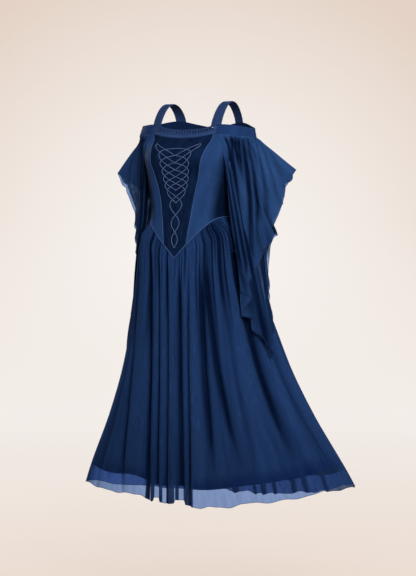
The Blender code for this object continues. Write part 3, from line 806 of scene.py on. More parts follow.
def satin_look(name, light, dark, rows=0.0):
    """Smooth stretch satin: a fine diagonal knit, faint pulls, on a band faint rows, and painted
    shadow.
    """
    look = Look(name)
    cloth = look.cloth()
    knit = look.wave(cloth, 0.0011, "DIAGONAL", 0.6)
    soft = look.noise(look.stretched(cloth, (9.0, 3.0, 1.0)), 3.0, 3.0)
    fine = look.noise(cloth, 900.0, 1.0)
    colour = look.blend(look.ramp(soft, 0.3, 0.7), dark, light)
    colour = look.blend(look.scaled(fine, 0.22), colour, dark)
    pulls = look.bump(soft, 0.002, 0.2)
    if rows:
        line = look.wave(cloth, rows, "Y", 0.2)
        colour = look.blend(look.scaled(line, 0.45), colour, dark)
        pulls = look.bump(line, 0.0005, 0.4, pulls)
    # Painted shadow: the shadow attribute blends the colour towards a near-black shade.
    painted_shade = look.node("Attribute", attribute_name="shadow").outputs["Fac"]
    colour = look.blend(painted_shade, colour, (0.0012, 0.0040, 0.0150, 1))
    look.set(Base_Color=colour, Normal=look.bump(knit, 0.00012, 0.5, pulls))
    look.set(Roughness=look.maths("ADD", look.ramp(fine, 0.0, 5.0), 0.46))
    look.set(Sheen_Weight=0.03, Sheen_Roughness=0.4, Sheen_Tint=(0.20, 0.42, 1.0, 1))
    look.set(Specular_IOR_Level=0.02, Specular_Tint=(0.25, 0.50, 1.0, 1))
    return look.material


def velvet_look():
    """Deep velvet: nearly black, with a nap that catches blue at its edges."""
    look = Look("velvet")
    cloth = look.cloth()
    nap = look.noise(look.stretched(cloth, (30.0, 9.0, 1.0)), 2.0, 4.0)
    pile = look.noise(cloth, 1400.0, 1.0)
    shade = look.ramp(nap, 0.35, 0.75)
    colour = look.blend(shade, (0.0018, 0.0070, 0.0270, 1), (0.0042, 0.0175, 0.0600, 1))
    look.set(Base_Color=colour, Roughness=0.92, Normal=look.bump(pile, 0.0004, 0.5))
    look.set(Sheen_Weight=0.05, Sheen_Roughness=0.35, Sheen_Tint=(0.05, 0.20, 0.80, 1))
    look.set(Specular_IOR_Level=0.04)
    return look.material


def chiffon_look(name, light, dark, tint):
    """Sheer crepe chiffon: each layer tints what shows through it; painted fold light, painted shade in
    troughs.
    """
    look = Look(name)
    cloth = look.cloth()
    # Painted light and shade of the folds, and how much the cloth covers.
    ridge = look.node("Attribute", attribute_name="fold").outputs["Fac"]
    layers = look.node("Attribute", attribute_name="cover").outputs["Fac"]
    crepe = look.noise(look.stretched(cloth, (900.0, 300.0, 1.0)), 1.0, 2.0)
    soft = look.noise(look.stretched(cloth, (30.0, 2.0, 1.0)), 2.0, 2.0)
    threads = look.wave(cloth, 0.0009, "X", 0.8)
    crinkle = look.noise(look.stretched(cloth, (90.0, 14.0, 1.0)), 1.5, 3.0)
    shade = look.maths("ADD", ridge, look.scaled(look.ramp(soft, 0.35, 0.65), 0.16))
    # Painted light: the fold value runs the colour from the painted trough shade to the lit colour.
    colour = look.blend(look.ramp(shade, 0.08, 1.12), dark, light)
    colour = look.blend(look.scaled(crepe, 0.30), colour, dark)
    grain = look.bump(crepe, 0.00035, 0.6)
    look.set(Base_Color=colour, Roughness=0.9, Normal=look.bump(threads, 0.00008, 0.4, grain))
    look.set(Sheen_Weight=0.03, Sheen_Roughness=0.5, Sheen_Tint=(0.15, 0.35, 1.0, 1))
    look.set(Specular_IOR_Level=0.01, Specular_Tint=(0.15, 0.40, 1.0, 1))
    seen = look.node("BsdfTransparent", {"Color": tint})
    glancing = look.node("LayerWeight", {"Blend": 0.5}).outputs["Facing"]
    cover = look.maths("ADD", look.scaled(crepe, 0.14), look.maths("SUBTRACT", layers, 0.14))
    cover = look.maths("ADD", cover, look.scaled(look.ramp(crinkle, 0.36, 0.66), 0.13))
    cover = look.mix(look.maths("POWER", glancing, 1.6), cover, 1.0)
    # The cloth covers more where the painted fold shade is deep.
    cover = look.mix(look.scaled(look.ramp(ridge, 0.5, 0.05), 0.8), cover, 1.0)
    look.show(look.node("MixShader", {0: cover, 1: seen.outputs[0], 2: look.shader.outputs[0]}))
    return look.material


def plain_weave_look(name, light, dark):
    """Closely woven lining."""
    look = Look(name)
    cloth = look.cloth()
    weave = look.maths("ADD", look.wave(cloth, 0.0008, "X"), look.wave(cloth, 0.0008, "Y"))
    soft = look.noise(look.stretched(cloth, (8.0, 2.0, 1.0)), 2.0, 3.0)
    colour = look.blend(look.ramp(soft, 0.3, 0.7), dark, light)
    look.set(Base_Color=colour, Roughness=0.7, Normal=look.bump(weave, 0.0001, 0.4))
    look.set(Sheen_Weight=0.03, Sheen_Roughness=0.5, Specular_IOR_Level=0.08)
    return look.material


def thread_look(name, light, dark):
    """Twisted thread or cord, its ply running round it."""
    look = Look(name)
    cloth = look.cloth()
    ply = look.wave(cloth, PLY_PITCH, "DIAGONAL", 0.3)
    soft = look.noise(cloth, 120.0, 2.0)
    colour = look.blend(look.scaled(ply, look.ramp(soft, 0.0, 0.9)), dark, light)
    look.set(Base_Color=colour, Roughness=0.6, Normal=look.bump(ply, 0.0003, 0.6))
    look.set(Sheen_Weight=0.05, Sheen_Roughness=0.4, Specular_IOR_Level=0.15)
    return look.material


def make_looks():
    # The chiffons' dark colour is the painted shade of their fold troughs.
    tint, painted_trough_shade = (0.33, 0.50, 0.92, 1), (0.0018, 0.0060, 0.0250, 1)
    return {
        "satin": satin_look("satin", (0.021, 0.060, 0.182, 1), (0.013, 0.040, 0.126, 1)),
        "band": satin_look("band_satin", (0.018, 0.050, 0.168, 1), (0.009, 0.028, 0.100, 1), BAND_ROWS),
        "velvet": velvet_look(),
        "skirt": chiffon_look("skirt_chiffon", (0.0215, 0.063, 0.196, 1), painted_trough_shade, tint),
        "sleeve": chiffon_look("sleeve_chiffon", (0.026, 0.075, 0.220, 1), painted_trough_shade, tint),
        "lining": plain_weave_look("lining", (0.020, 0.042, 0.100, 1), (0.013, 0.027, 0.066, 1)),
        "braid": thread_look("braid_thread", (0.040, 0.090, 0.265, 1), (0.012, 0.032, 0.105, 1)),
        "tape": plain_weave_look("tape", (0.027, 0.062, 0.188, 1), (0.016, 0.040, 0.124, 1)),
        "piping": thread_look("piping", (0.068, 0.145, 0.380, 1), (0.036, 0.088, 0.245, 1)),
        "embroidery": thread_look("cord", (0.130, 0.200, 0.430, 1), (0.070, 0.118, 0.275, 1)),
        "hem": thread_look("hem_roll", (0.014, 0.042, 0.135, 1), (0.007, 0.022, 0.075, 1)),
        "stitch": thread_look("stitch_thread", (0.036, 0.085, 0.240, 1), (0.020, 0.050, 0.150, 1)),
    }


def with_edges(count, edge):
    """Even steps from 0 to 1 with a few close ones at both ends, for rounded edges."""
    close = np.array([0.15, 0.5, 1.0]) * edge
    return np.unique(np.concatenate([np.linspace(0, 1, count), close, 1 - close]))


def make_neck_band(looks):
    degrees = TRIM_END_DEG + (360 - 2 * TRIM_END_DEG) * with_edges(280, 0.002)
    shares = with_edges(11, 0.06)
    middle = np.stack([band_point(degrees, share) for share in shares])
    normals = grid_normals(middle, closed=False)
    turns = degrees / 360
    puckers = FINE_PUCKER * wander(11, 140, turns) + BROAD_PUCKER * wander(12, 37, turns)
    swell = np.sin(np.pi * shares)[:, None]
    middle = middle + normals * (puckers * swell + BAND_SWELL * swell)[..., None]
    piece = add_wall("neck_band_satin", middle, normals, BAND_THICK, looks["band"])
    rows = []
    for share in BAND_STITCH_ROWS:
        out = normals[int(share * (len(shares) - 1))]
        rows.append((band_point(degrees, share) + out * (BAND_THICK / 2 + STITCH_RADIUS), out))
    sew_in(piece, "neck_band", add_stitches("neck_band_stitches", rows, looks["stitch"]))


def make_openwork_trim(looks):
    """The openwork stretch of the band: a ladder of bars between cords, over a plain edge."""
    pitch = 2 * SLOTS_END_DEG / SLOT_COUNT
    bar = pitch * (1 - SLOT_SHARE_OF_PITCH)
    width = pitch - bar
    starts = [-SLOTS_END_DEG + slot * pitch + bar / 2 for slot in range(SLOT_COUNT)]
    slots = [(start, start + width) for start in starts]
    degrees = [-TRIM_END_DEG, TRIM_END_DEG]
    for low, high in slots:
        degrees += [low - bar * 0.3, low, low + width * 0.5, high, high + bar * 0.3]
    degrees = np.unique(np.round(degrees, 5))
    slot_rows = [SLOT_TOP_SHARE, 0.28, 0.40, SLOT_BOTTOM_SHARE]
    shares = np.array([0, 0.03, 0.08] + slot_rows + [0.56, 0.64, 0.72, 0.8, 0.9, 0.97, 1.0])
    middle = np.stack([band_point(degrees, share) for share in shares])
    normals = grid_normals(middle, closed=False)
    cells = set()
    for column, centre in enumerate((degrees[1:] + degrees[:-1]) / 2):
        if any(low < centre < high for low, high in slots):
            cells |= {(row, column) for row in (3, 4, 5)}
    name = "openwork_trim_braid"
    piece = add_wall(name, middle, normals, BAND_THICK, looks["tape"], open_cells=cells)
    fine = np.linspace(-TRIM_END_DEG, TRIM_END_DEG, 400)
    lift = BAND_THICK / 2 + TRIM_LIFT
    out = between(fine, degrees, normals[1])
    cords = [(band_point(fine, share) + out * lift, out) for share in OPENWORK_CORDS]
    down = np.linspace(SLOT_TOP_SHARE - 0.05, SLOT_BOTTOM_SHARE + 0.06, 8)
    for low, high in slots:
        for centre in (low - bar / 2, high + bar / 2):
            path = np.stack([band_point(np.array(centre), share) for share in down])
            out = np.repeat([between(centre, degrees, normals[4])], len(down), axis=0)
            cords.append((path + out * lift, out))
    ladder = add_tubes("openwork_cords", cords, BRAID_RADIUS, 5, looks["braid"])
    sew_in(piece, "openwork_trim", ladder)


def strap_surface(side, across, along):
    """Middle surface of a strap: across from -1 to 1, along from 0 at the front foot to 1."""
    front_degrees = math.degrees(math.asin(STRAP_X / BAND_TOP["half_width"]))
    feet = []
    for degrees in (front_degrees, 180 - front_degrees):
        leaning = abs(math.cos(math.radians(degrees)))
        half_turn = math.degrees(STRAP_WIDTH / 2 / BAND_TOP["half_width"] / leaning)
        toward = 1 if degrees < 90 else -1
        feet.append(band_point(degrees + toward * half_turn * across, 0))
    reach = ((1 - np.cos(along * math.pi)) / 2)[..., None]
    point = feet[0] * (1 - reach) + feet[1] * reach
    lift = np.sin(along**STRAP_PEAK_SET_BACK * math.pi) ** STRAP_ROUNDNESS
    point[..., 2] = point[..., 2] * (1 - lift) - STRAP_THICK / 2 * lift
    point[..., 0] *= side
    return point


def braid_strand(side, strand, run, step=0.002):
    """Path and outward directions of one strand of a strap's flat braid."""
    phase = run * BRAID_CROSSINGS * math.pi + strand * 2 * math.pi / BRAID_STRANDS
    place = BRAID_REACH * np.cos(phase) * side
    path = strap_surface(side, place, run)
    ahead = strap_surface(side, place, np.clip(run + step, 0, 1))
    behind = strap_surface(side, place, np.clip(run - step, 0, 1))
    beside = strap_surface(side, place + step, run)
    out = unit(np.cross(ahead - behind, beside - path)) * -1
    out *= np.sign(out[len(out) // 2, 2])
    lift = STRAP_THICK * 0.4 + BRAID_LIFT + BRAID_OVER_UNDER * np.sin(phase * 4)
    return path + out * lift[:, None], out


def make_strap(looks, name, side):
    across = with_edges(9, 0.06) * 2 - 1
    grid_across, grid_along = np.meshgrid(across * side, with_edges(90, 0.004))
    middle = strap_surface(side, grid_across, grid_along)[::-1]
    normals = grid_normals(middle, closed=False)
    piece = add_wall(name + "_tape", middle, normals, STRAP_THICK * 0.8, looks["tape"])
    run = np.linspace(0.004, 0.996, 420)
    paths = [braid_strand(side, strand, run) for strand in range(BRAID_STRANDS)]
    out = paths[0][1]
    for edge in (-BRAID_EDGE, BRAID_EDGE):
        path = strap_surface(side, np.full(run.shape, edge), run)
        paths.append((path + out * STRAP_THICK * 0.35, out))
    sew_in(piece, name, add_tubes(name + "_braid", paths, BRAID_RADIUS, 5, looks["braid"]))


def panel(angles_at, columns, rows, depth, seed):
    """Points and outward directions of a bodice panel, with drag lines up to this deep."""
    tops = np.full(len(columns), HIGHEST_SEAM_Z)
    bottoms = np.full(len(columns), WAIST_Z)
    for _ in range(WAIST_STEPS):
        tops = bodice_top(angles_at(tops, columns))
        low = angles_at(bottoms, columns)
        bottoms = waist_at(low) + seam_allowance(low)
    z = tops[None, :] * (1 - rows[:, None]) + bottoms[None, :] * rows[:, None]
    angles = angles_at(z, columns[None, :])
    middle, out = body_point(TORSO, angles, z), body_normal(angles, z)
    return middle + out * ripples(middle, depth, seed)[..., None], out


def centre_angles(z, share):
    return np.sign(share) * angle_at_x(np.abs(share) * princess_x(z), z)


def side_front_angles(z, share):
    seam = angle_at_x(princess_x(z), z)
    return seam + (math.pi / 2 - seam) * share


def back_angles(z, angle):
    return angle + 0 * z


def ripples(middle, depth, seed):
    """Soft uneven drag lines for a snug panel, none along its edges."""
    x, z = middle[..., 0], middle[..., 2]
    slant = z * 2.1 + np.abs(x) * 0.9
    wave = wander(seed, 23, slant) + 0.6 * wander(seed + 1, 47, slant * 1.3 + x)
    rows, columns = middle.shape[:2]
    down = np.sin(np.linspace(0, math.pi, rows))[:, None]
    across = np.sin(np.linspace(0, math.pi, columns))[None, :]
    return depth * wave * np.sqrt(down * across)


def make_centre_front(looks, rows):
    columns = with_edges(56, 0.008) * 2 - 1
    middle, normals = panel(centre_angles, columns, rows, VELVET_DRAG_LINES, 21)
    piece = add_wall("centre_front_velvet", middle, normals, VELVET_THICK, looks["velvet"])
    sew_in(piece, "centre_front", make_plait(looks))


def make_side_front(looks, name, grid, out, shadow, seam, inset):
    """One side front with piping and stitches along its princess seam's column."""
    piece = add_wall(name + "_satin", grid, out, SATIN_THICK, looks["satin"], shadow=shadow)
    path = grid[:, seam] + out[:, seam] * SATIN_THICK * 0.5
    edge = [(path, out[:, seam])]
    piping = add_tubes(name + "_seam_piping", edge, SEAM_PIPING_RADIUS, 6, looks["piping"])
    row = grid[:, inset] + out[:, inset] * (SATIN_THICK / 2 + TRIM_LIFT)
    stitches = add_stitches(name + "_seam_stitches", [(row, out[:, inset])], looks["stitch"])
    sew_in(piece, name, piping, stitches)


def make_side_fronts(looks, rows):
    """Both side fronts, each with a painted shadow where its sleeve shades it."""
    columns = with_edges(44, 0.008)
    grid, out = panel(side_front_angles, columns, rows, SATIN_DRAG_LINES, 31)
    # Painted shadow of the sleeve, darkest towards the side seam; on the right it fades out near the
    # waist.
    shadow = 0.92 * smoothstep(0.30, 0.64, columns) + 0 * rows[:, None]
    make_side_front(looks, "side_front_left", grid, out, shadow, 0, 2)
    upper = 1 - smoothstep(0.76, 0.95, rows)
    shadow = (0.96 * smoothstep(0.18, 0.42, columns) * upper[:, None])[:, ::-1]
    grid, out = grid[:, ::-1] * MIRROR, out[:, ::-1] * MIRROR
    make_side_front(looks, "side_front_right", grid, out, shadow, -1, -3)


def make_bodice_back(looks, rows):
    columns = math.pi / 2 + math.pi * with_edges(120, 0.003)
    middle, normals = panel(back_angles, columns, rows, SATIN_DRAG_LINES, 41)
    piece = add_wall("bodice_back_satin", middle, normals, SATIN_THICK, looks["satin"])
    sew_in(piece, "bodice_back")


def make_bodice(looks):
    rows = with_edges(64, 0.004)
    make_centre_front(looks, rows)
    make_side_fronts(looks, rows)
    make_bodice_back(looks, rows)


def plait_strand(strand):
    """Points of one strand of the tapering plait, as x and z on the velvet, and its phase."""
    ends = PLAIT_PAIR_ENDS[strand % (PLAIT_STRANDS // 2)]
    share = np.linspace(0, 1, PLAIT_POINTS)
    turns = PLAIT_TURNS * (PLAIT_FIRST_SPEED * share + (1 - PLAIT_FIRST_SPEED) * share**2)
    phase = 2 * math.pi * (turns + strand / PLAIT_STRANDS) + math.radians(PLAIT_START_DEG)
    crossings = share[:-1][np.diff(np.sign(np.cos(phase))) != 0]
    last = crossings[np.argmin(np.abs(crossings - ends))] if ends < 1 else 1.0
    keep = share <= last + 1.5 / PLAIT_POINTS
    share, phase = share[keep], phase[keep]
    width = read_table(PLAIT_WIDTHS, share)[..., 0]
    x = width * np.cos(phase)
    drop = PLAIT_CENTRE_DROP * (1 - np.abs(np.cos(phase))) * (1 - share) ** 4
    z = PLAIT_TOP_Z + (PLAIT_BOTTOM_Z - PLAIT_TOP_Z) * share - drop
    return x, z, phase


def make_plait(looks):
    """Fine cord couched on the velvet: a plait of six strands that tapers to a chain of loops."""
    paths = []
    for strand in range(PLAIT_STRANDS):
        x, z, phase = plait_strand(strand)
        angle = np.sign(x) * angle_at_x(np.abs(x), z)
        out = body_normal(angle, z)
        lift = VELVET_THICK / 2 + CORD_RADIUS * 0.6 + CORD_LIFT * (1 + np.sin(3 * phase)) / 2
        paths.append((body_point(TORSO, angle, z) + out * lift[:, None], out))
    return add_tubes("couched_cord", paths, CORD_RADIUS, 6, looks["embroidery"])


def make_waist_piping(looks):
    angles = np.arange(WAIST_PIPING_POINTS) * 2 * math.pi / WAIST_PIPING_POINTS
    heights = waist_at(angles)
    path, out = body_point(TORSO, angles, heights), body_normal(angles, heights)
    name = "waist_cord_piping"
    piece = add_tubes(name, [(path, out)], PIPING_RADIUS, 8, looks["piping"], closed=True)
    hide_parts("waist_piping")
    return piece


def hem_z(angle):
    """Height of the skirt's hem, which hangs unevenly and rises towards the sides."""
    quick, slow = HEM_WAVES_ROUND
    wave = HEM_WAVE * np.sin(quick * angle) * np.sin(slow * angle + 1)
    return read_table(SKIRT_HEM, signed_degrees(np.degrees(angle)))[..., 0] + wave


def skirt_surface(start, share, shorter=0.0):
    """Smooth surface of the skirt before its folds: start is the angle at the waist."""
    spread = start - FRONT_BUNCHING * np.sin(2 * start)
    eased = np.sqrt(share)
    angle = start * (1 - eased) + spread * eased
    top = waist_at(start) - seam_allowance(start)
    z = top * (1 - share) + (hem_z(angle) + shorter) * share
    flare = smoothstep(0, FLARE_HEIGHT, top - z)[..., None]
    return body_point(TORSO, angle, z) * (1 - flare) + body_point(SKIRT, angle, z) * flare


def skirt_grid(columns, rows, shorter=0.0):
    """Angles, shares, smooth points, outward directions and the width of a fold."""
    start = np.arange(columns) * 2 * math.pi / columns
    share = np.linspace(0, 1, rows) ** 1.25
    smooth = skirt_surface(start[None, :], share[:, None] + 0 * start, shorter)
    out = grid_normals(smooth, closed=True)
    run = np.linalg.norm(np.roll(smooth, -1, axis=1) - np.roll(smooth, 1, axis=1), axis=2)
    return start, share, smooth, out, run / 2 * columns / FOLD_COUNT


def gathers(turns, share, count, seed, reach):
    """Troughs of small gathers from 0 to 1, each with its own strength and length."""
    place = turns * count + 0.8 * wander(seed, count, turns)
    strengths, lengths = np.random.default_rng(seed).random((2, count))
    number = np.floor(place).astype(int) % count
    length = reach * (0.3 + lengths[number])
    amount = smoothstep(0.0, 0.012, share) * (1 - smoothstep(0.3 * length, length, share))
    shape = np.exp(-((np.abs(place % 1 - 0.5) / 0.18) ** 2))
    return (0.50 + 0.50 * strengths[number]) * amount * shape


def troughs(table, degrees, share, way, size, full):
    """Depth of long folds in metres, and the painted shade laid in them, from 0. Size is a degree's
    width.
    """
    depth, dark = 0.0, 0.0
    for top, end, half_width, deep, full_at, gone_at in table:
        off = ((degrees - top - (end - top) * way + 180) % 360 - 180) * size / half_width
        amount = smoothstep(0.0, full_at, share) * (1 - smoothstep(gone_at - 0.35, gone_at, share))
        near, wide = np.exp(-(off**2)), np.exp(-((off / 2.5) ** 2))
        depth = depth + deep * amount * (0.7 * near + 0.3 * wide)
        # Painted shade along the trough, full where the depth reaches full.
        dark = dark + deep / full * amount * (near + 0.25 * wide)
    return depth, dark


def skirt_folds(start, share, width):
    """How far the cloth stands out, how far the lining behind it does, and its painted light."""
    turns = start / (2 * math.pi)
    share = share[:, None]
    ridge = read_table(SKIRT_ROWS, share[:, 0])[:, 0][:, None] * width
    degree = width * FOLD_COUNT / 360
    degrees = np.degrees(start)
    depth, dark = troughs(LONG_FOLDS, degrees, share, share, degree, LONG_FOLD_FULL)
    small = gathers(turns, share, GATHERS_ROUND, 3, 0.42)
    fine = gathers(turns, share, FINE_GATHERS_ROUND, 4, 0.13)
    low = smoothstep(0.2, 0.8, share)
    behind = ridge - depth + 0.0016 * wander(8, 37, turns + 0.02 * np.sin(4 * share)) * low
    rise = behind - width * (0.22 * small + 0.06 * fine)
    # Painted light: random streaks, darker towards the hem, lighter near the waist, painted shade in
    # the long folds and the gathers.
    streaks = 0.10 * wander(9, 83, turns + 0.02 * share) + 0.06 * wander(10, 151, turns)
    near_waist = 1 - smoothstep(0.05, 0.3, share)
    light = 1.04 - 0.38 * smoothstep(0.5, 1.0, share) + 0.24 * near_waist + streaks
    light = light - 0.98 * np.minimum(dark, 1.1) - 1.15 * small - 0.40 * fine
    return rise, behind, np.clip(light, 0, LIGHTEST)


def windows(spans, degrees, edge):
    """1 between each pair of degrees and 0 elsewhere, with soft edges this wide."""
    shape = [
        smoothstep(start - edge, start, degrees) * (1 - smoothstep(end, end + edge, degrees))
        for start, end in spans
    ]
    return sum(shape)


def hem_roll(name, grid, material, closed=False):
    """The thin rolled hem along a sheet's lowest row."""
    edge = [(grid[-1], unit(grid[-1] - grid[-3]))]
    return add_tubes(name, edge, HEM_ROLL_RADIUS, 5, material, closed=closed)


def front_and_back(columns):
    """Which columns of a grid that runs all round are its front half and its back half."""
    quarter = columns // 4
    half = np.arange(-quarter, quarter + 1)
    return {"front": half % columns, "back": (half + 2 * quarter) % columns}


def skirt_paint(degrees, share, light):
    """The chiffon's painted light and how much it covers, with painted shade on the hem's doubled
    pleats and under the sleeve.
    """
    doubled = windows(DOUBLED_PLEATS, degrees, 0.5)
    between_pleats = windows([PLEATED_DEG], degrees, 0.5) * (1 - doubled)
    between_pleats = between_pleats * smoothstep(0.925, 0.945, share)
    # Painted shade on the doubled pleats low down, and painted light in the gaps between them below the
    # lining.
    light = light - 0.22 * doubled * smoothstep(0.75, 1.0, share)
    light = light * (1 - between_pleats) + 0.8 * between_pleats
    # Painted shadow of the sleeve at the top of the skirt.
    painted_sleeve_shadow = windows([SLEEVE_SHADOW_DEG], degrees, 9) * (1 - smoothstep(0.02, 0.22, share))
    light = np.clip(light - 0.6 * painted_sleeve_shadow, 0, LIGHTEST)
    thin = 0.32 + 0.40 * smoothstep(92, 125, np.abs(degrees))
    thin = thin + (0.68 - thin) * (1 - smoothstep(0.88, 0.925, share))
    cover = thin + (0.97 - thin) * doubled * smoothstep(0.85, 0.93, share)
    return light, cover


def make_skirt(looks, piping):
    columns = FOLD_COUNT * SKIRT_STEPS_PER_FOLD
    start, share, smooth, out, width = skirt_grid(columns, SKIRT_FINE_ROWS)
    rise, _, light = skirt_folds(start, share, width)
    share = share[:, None]
    grid = smooth + out * rise[..., None]
    grid[..., 2] += SKIRT_HEM_WAVER * wander(13, 67, start / (2 * math.pi)) * share**10
    degrees = signed_degrees(np.degrees(start))
    grid[..., 2] += RAISED_PLEAT_RISE * windows(RAISED_PLEATS, degrees, 1.5) * share**10
    light, cover = skirt_paint(degrees, share, light)
    for half, chosen in front_and_back(columns).items():
        name = "skirt_" + half
        # The fold attribute carries the painted light and shade of the folds.
        painted = {"fold": light[:, chosen], "cover": cover[:, chosen]}
        piece = add_sheet(name + "_chiffon", grid[:, chosen], looks["skirt"], painted=painted)
        hem = hem_roll(name + "_hem_roll", grid[:, chosen], looks["hem"])
        sewn_on = [hem, piping] if half == "front" else [hem]
        sew_in(piece, name, *sewn_on)


def make_skirt_lining(looks):
    columns = LINING_FINE_COLUMNS
    start, share, smooth, out, width = skirt_grid(columns, LINING_FINE_ROWS, LINING_SHORTER)
    behind = skirt_folds(start, share, width)[1]
    share = share[:, None]
    ease = LINING_BEHIND_FOLDS * smoothstep(0.0, 0.012, share) + 0.002
    grid = smooth + out * (behind - ease)[..., None]
    grid[..., 2] += (LINING_HEM_WAVER * wander(9, 19, start / (2 * math.pi)))[None, :] * share**3
    for half, chosen in front_and_back(columns).items():
        name = "skirt_lining_" + half
        piece = add_sheet(name + "_cloth", grid[:, chosen], looks["lining"])
        sew_in(piece, name, hem_roll(name + "_hem", grid[:, chosen], looks["lining"]))


def armhole_point(angle):
    """Where the sleeve is sewn on, just outside the bodice's armhole edge."""
    z = bodice_top(angle)
    out = body_normal(angle, z)
    out[..., 2] = 0
    return body_point(TORSO, angle, z) + unit(out) * (SATIN_THICK / 2 + SLEEVE_SEAM_GAP)


def sleeve_top(degrees):
    """The sleeve's upper edge: under the band outside, along the armhole inside."""
    turn = signed_degrees(degrees)
    middle_deg = (SLEEVE_BAND_FRONT_DEG + SLEEVE_BAND_BACK_DEG) / 2
    half_deg = (SLEEVE_BAND_BACK_DEG - SLEEVE_BAND_FRONT_DEG) / 2
    under_band = band_point(middle_deg - np.clip(turn / 90, -1, 1) * half_deg, 1)
    inside = np.clip((np.mod(degrees, 360) - 90) / 180, 0, 1)
    angle = np.radians(SLEEVE_BAND_FRONT_DEG + inside * 2 * half_deg)
    return np.where((np.abs(turn) <= 90)[:, None], under_band, armhole_point(angle))


def pushed_clear(points, margin):
    """Moves points that lie inside the bodice or the skirt out to this far from it."""
    moved = points.copy()
    for table, chosen in ((TORSO, points[..., 2] > WAIST_Z), (SKIRT, points[..., 2] <= WAIST_Z)):
        x, y, z = points[chosen].T
        half_width, front_y, back_y, fullness = read_table(table, -z).T
        middle, depth = (front_y + back_y) / 2, (back_y - front_y) / 2
        angle = np.arctan2(x / half_width, (middle - y) / depth)
        for _ in range(6):
            wide = half_width * (1 + fullness * np.cos(angle) ** 2)
            deep = depth * (1 + fullness * np.sin(angle) ** 2)
            angle = np.arctan2(x / wide, (middle - y) / deep)
        body = body_point(table, angle, z)
        wanted = np.hypot(body[:, 0], body[:, 1] - middle) + margin[chosen]
        grow = np.maximum(1, wanted / np.hypot(x, y - middle))
        moved[chosen] = np.stack([x * grow, middle + (y - middle) * grow, z], axis=-1)
    return moved


def sleeve_waves(degrees):
    """Phase and height of the waves of the sleeve's hem, and how far behind they are."""
    turns = degrees / 360
    phase = 2 * math.pi * (turns * SLEEVE_WAVES + 0.8 * wander(54, 15, turns))
    behind = np.exp(-(((degrees - LARGEST_WAVES_DEG) / 36) ** 2))
    return phase, 0.7 + 0.6 * wander(55, 31, turns), behind


def sleeve_surface(degrees, share, swing_back, ruffles, lift):
    """The wearer's left sleeve before its folds, with its zigzag and its slow waves."""
    hem = read_table(SLEEVE_HEM, degrees)
    hem[:, 1] += swing_back * np.clip((hem[0, 2] - hem[:, 2]) / SWING_HEIGHT, 0, 1)
    smooth = sleeve_top(degrees) * (1 - share[..., None]) + hem * share[..., None]
    corners = np.array(ZIGZAG)
    aside, behind, up = between(degrees, corners[:, 0], corners[:, 1:]).T
    phase, _, back = sleeve_waves(degrees)
    outside = windows([WAVES_ASIDE_DEG], degrees, 8) + back
    slow = np.sin(phase * 0.62 + 0.6) + 0.3 * np.sin(phase)
    aside = aside + ruffles * HEM_WAVE_ASIDE * outside * (1 + 0.6 * back) * slow
    sine, cosine = math.sin(math.radians(ZIGZAG_TURN_DEG)), math.cos(math.radians(ZIGZAG_TURN_DEG))
    moved = np.stack([aside * cosine - behind * sine, aside * sine + behind * cosine, up], axis=-1)
    smooth = smooth + moved * (smoothstep(0.45, 1.0, share) ** 1.5)[..., None]
    near_tip = np.exp(-((signed_degrees(degrees) / 26) ** 2))
    smooth[..., 2] += lift * np.sin(np.sqrt(share) * math.pi) * near_tip
    return smooth


def sleeve_light(degrees, share, dark, small):
    """The sleeve's painted light: painted shade in its folds and low down, lighter near its outer
    point.
    """
    # Painted light: lighter near the outer point, a painted highlight along one ridge, painted shade
    # low down, in the folds and in the gathers.
    near_tip = np.exp(-(((signed_degrees(degrees) - 12) / 34) ** 2))
    painted_highlight = np.exp(-(((degrees - 28 - 56 * share**0.75) / 3.0) ** 2)) * smoothstep(0.2, 0.4, share)
    light = 0.95 + 0.14 * near_tip + 0.14 * wander(56, 29, degrees / 360)
    light = light - 0.26 * smoothstep(0.45, 1.0, share)
    light = light + 0.60 * painted_highlight * (1 - smoothstep(0.6, 0.9, share))
    lower = 1 - 0.45 * smoothstep(0.5, 0.9, share)
    light = light - (1.0 - 0.45 * near_tip) * lower * np.minimum(dark, 1.0) - 0.72 * small
    return np.clip(light, 0, LIGHTEST)


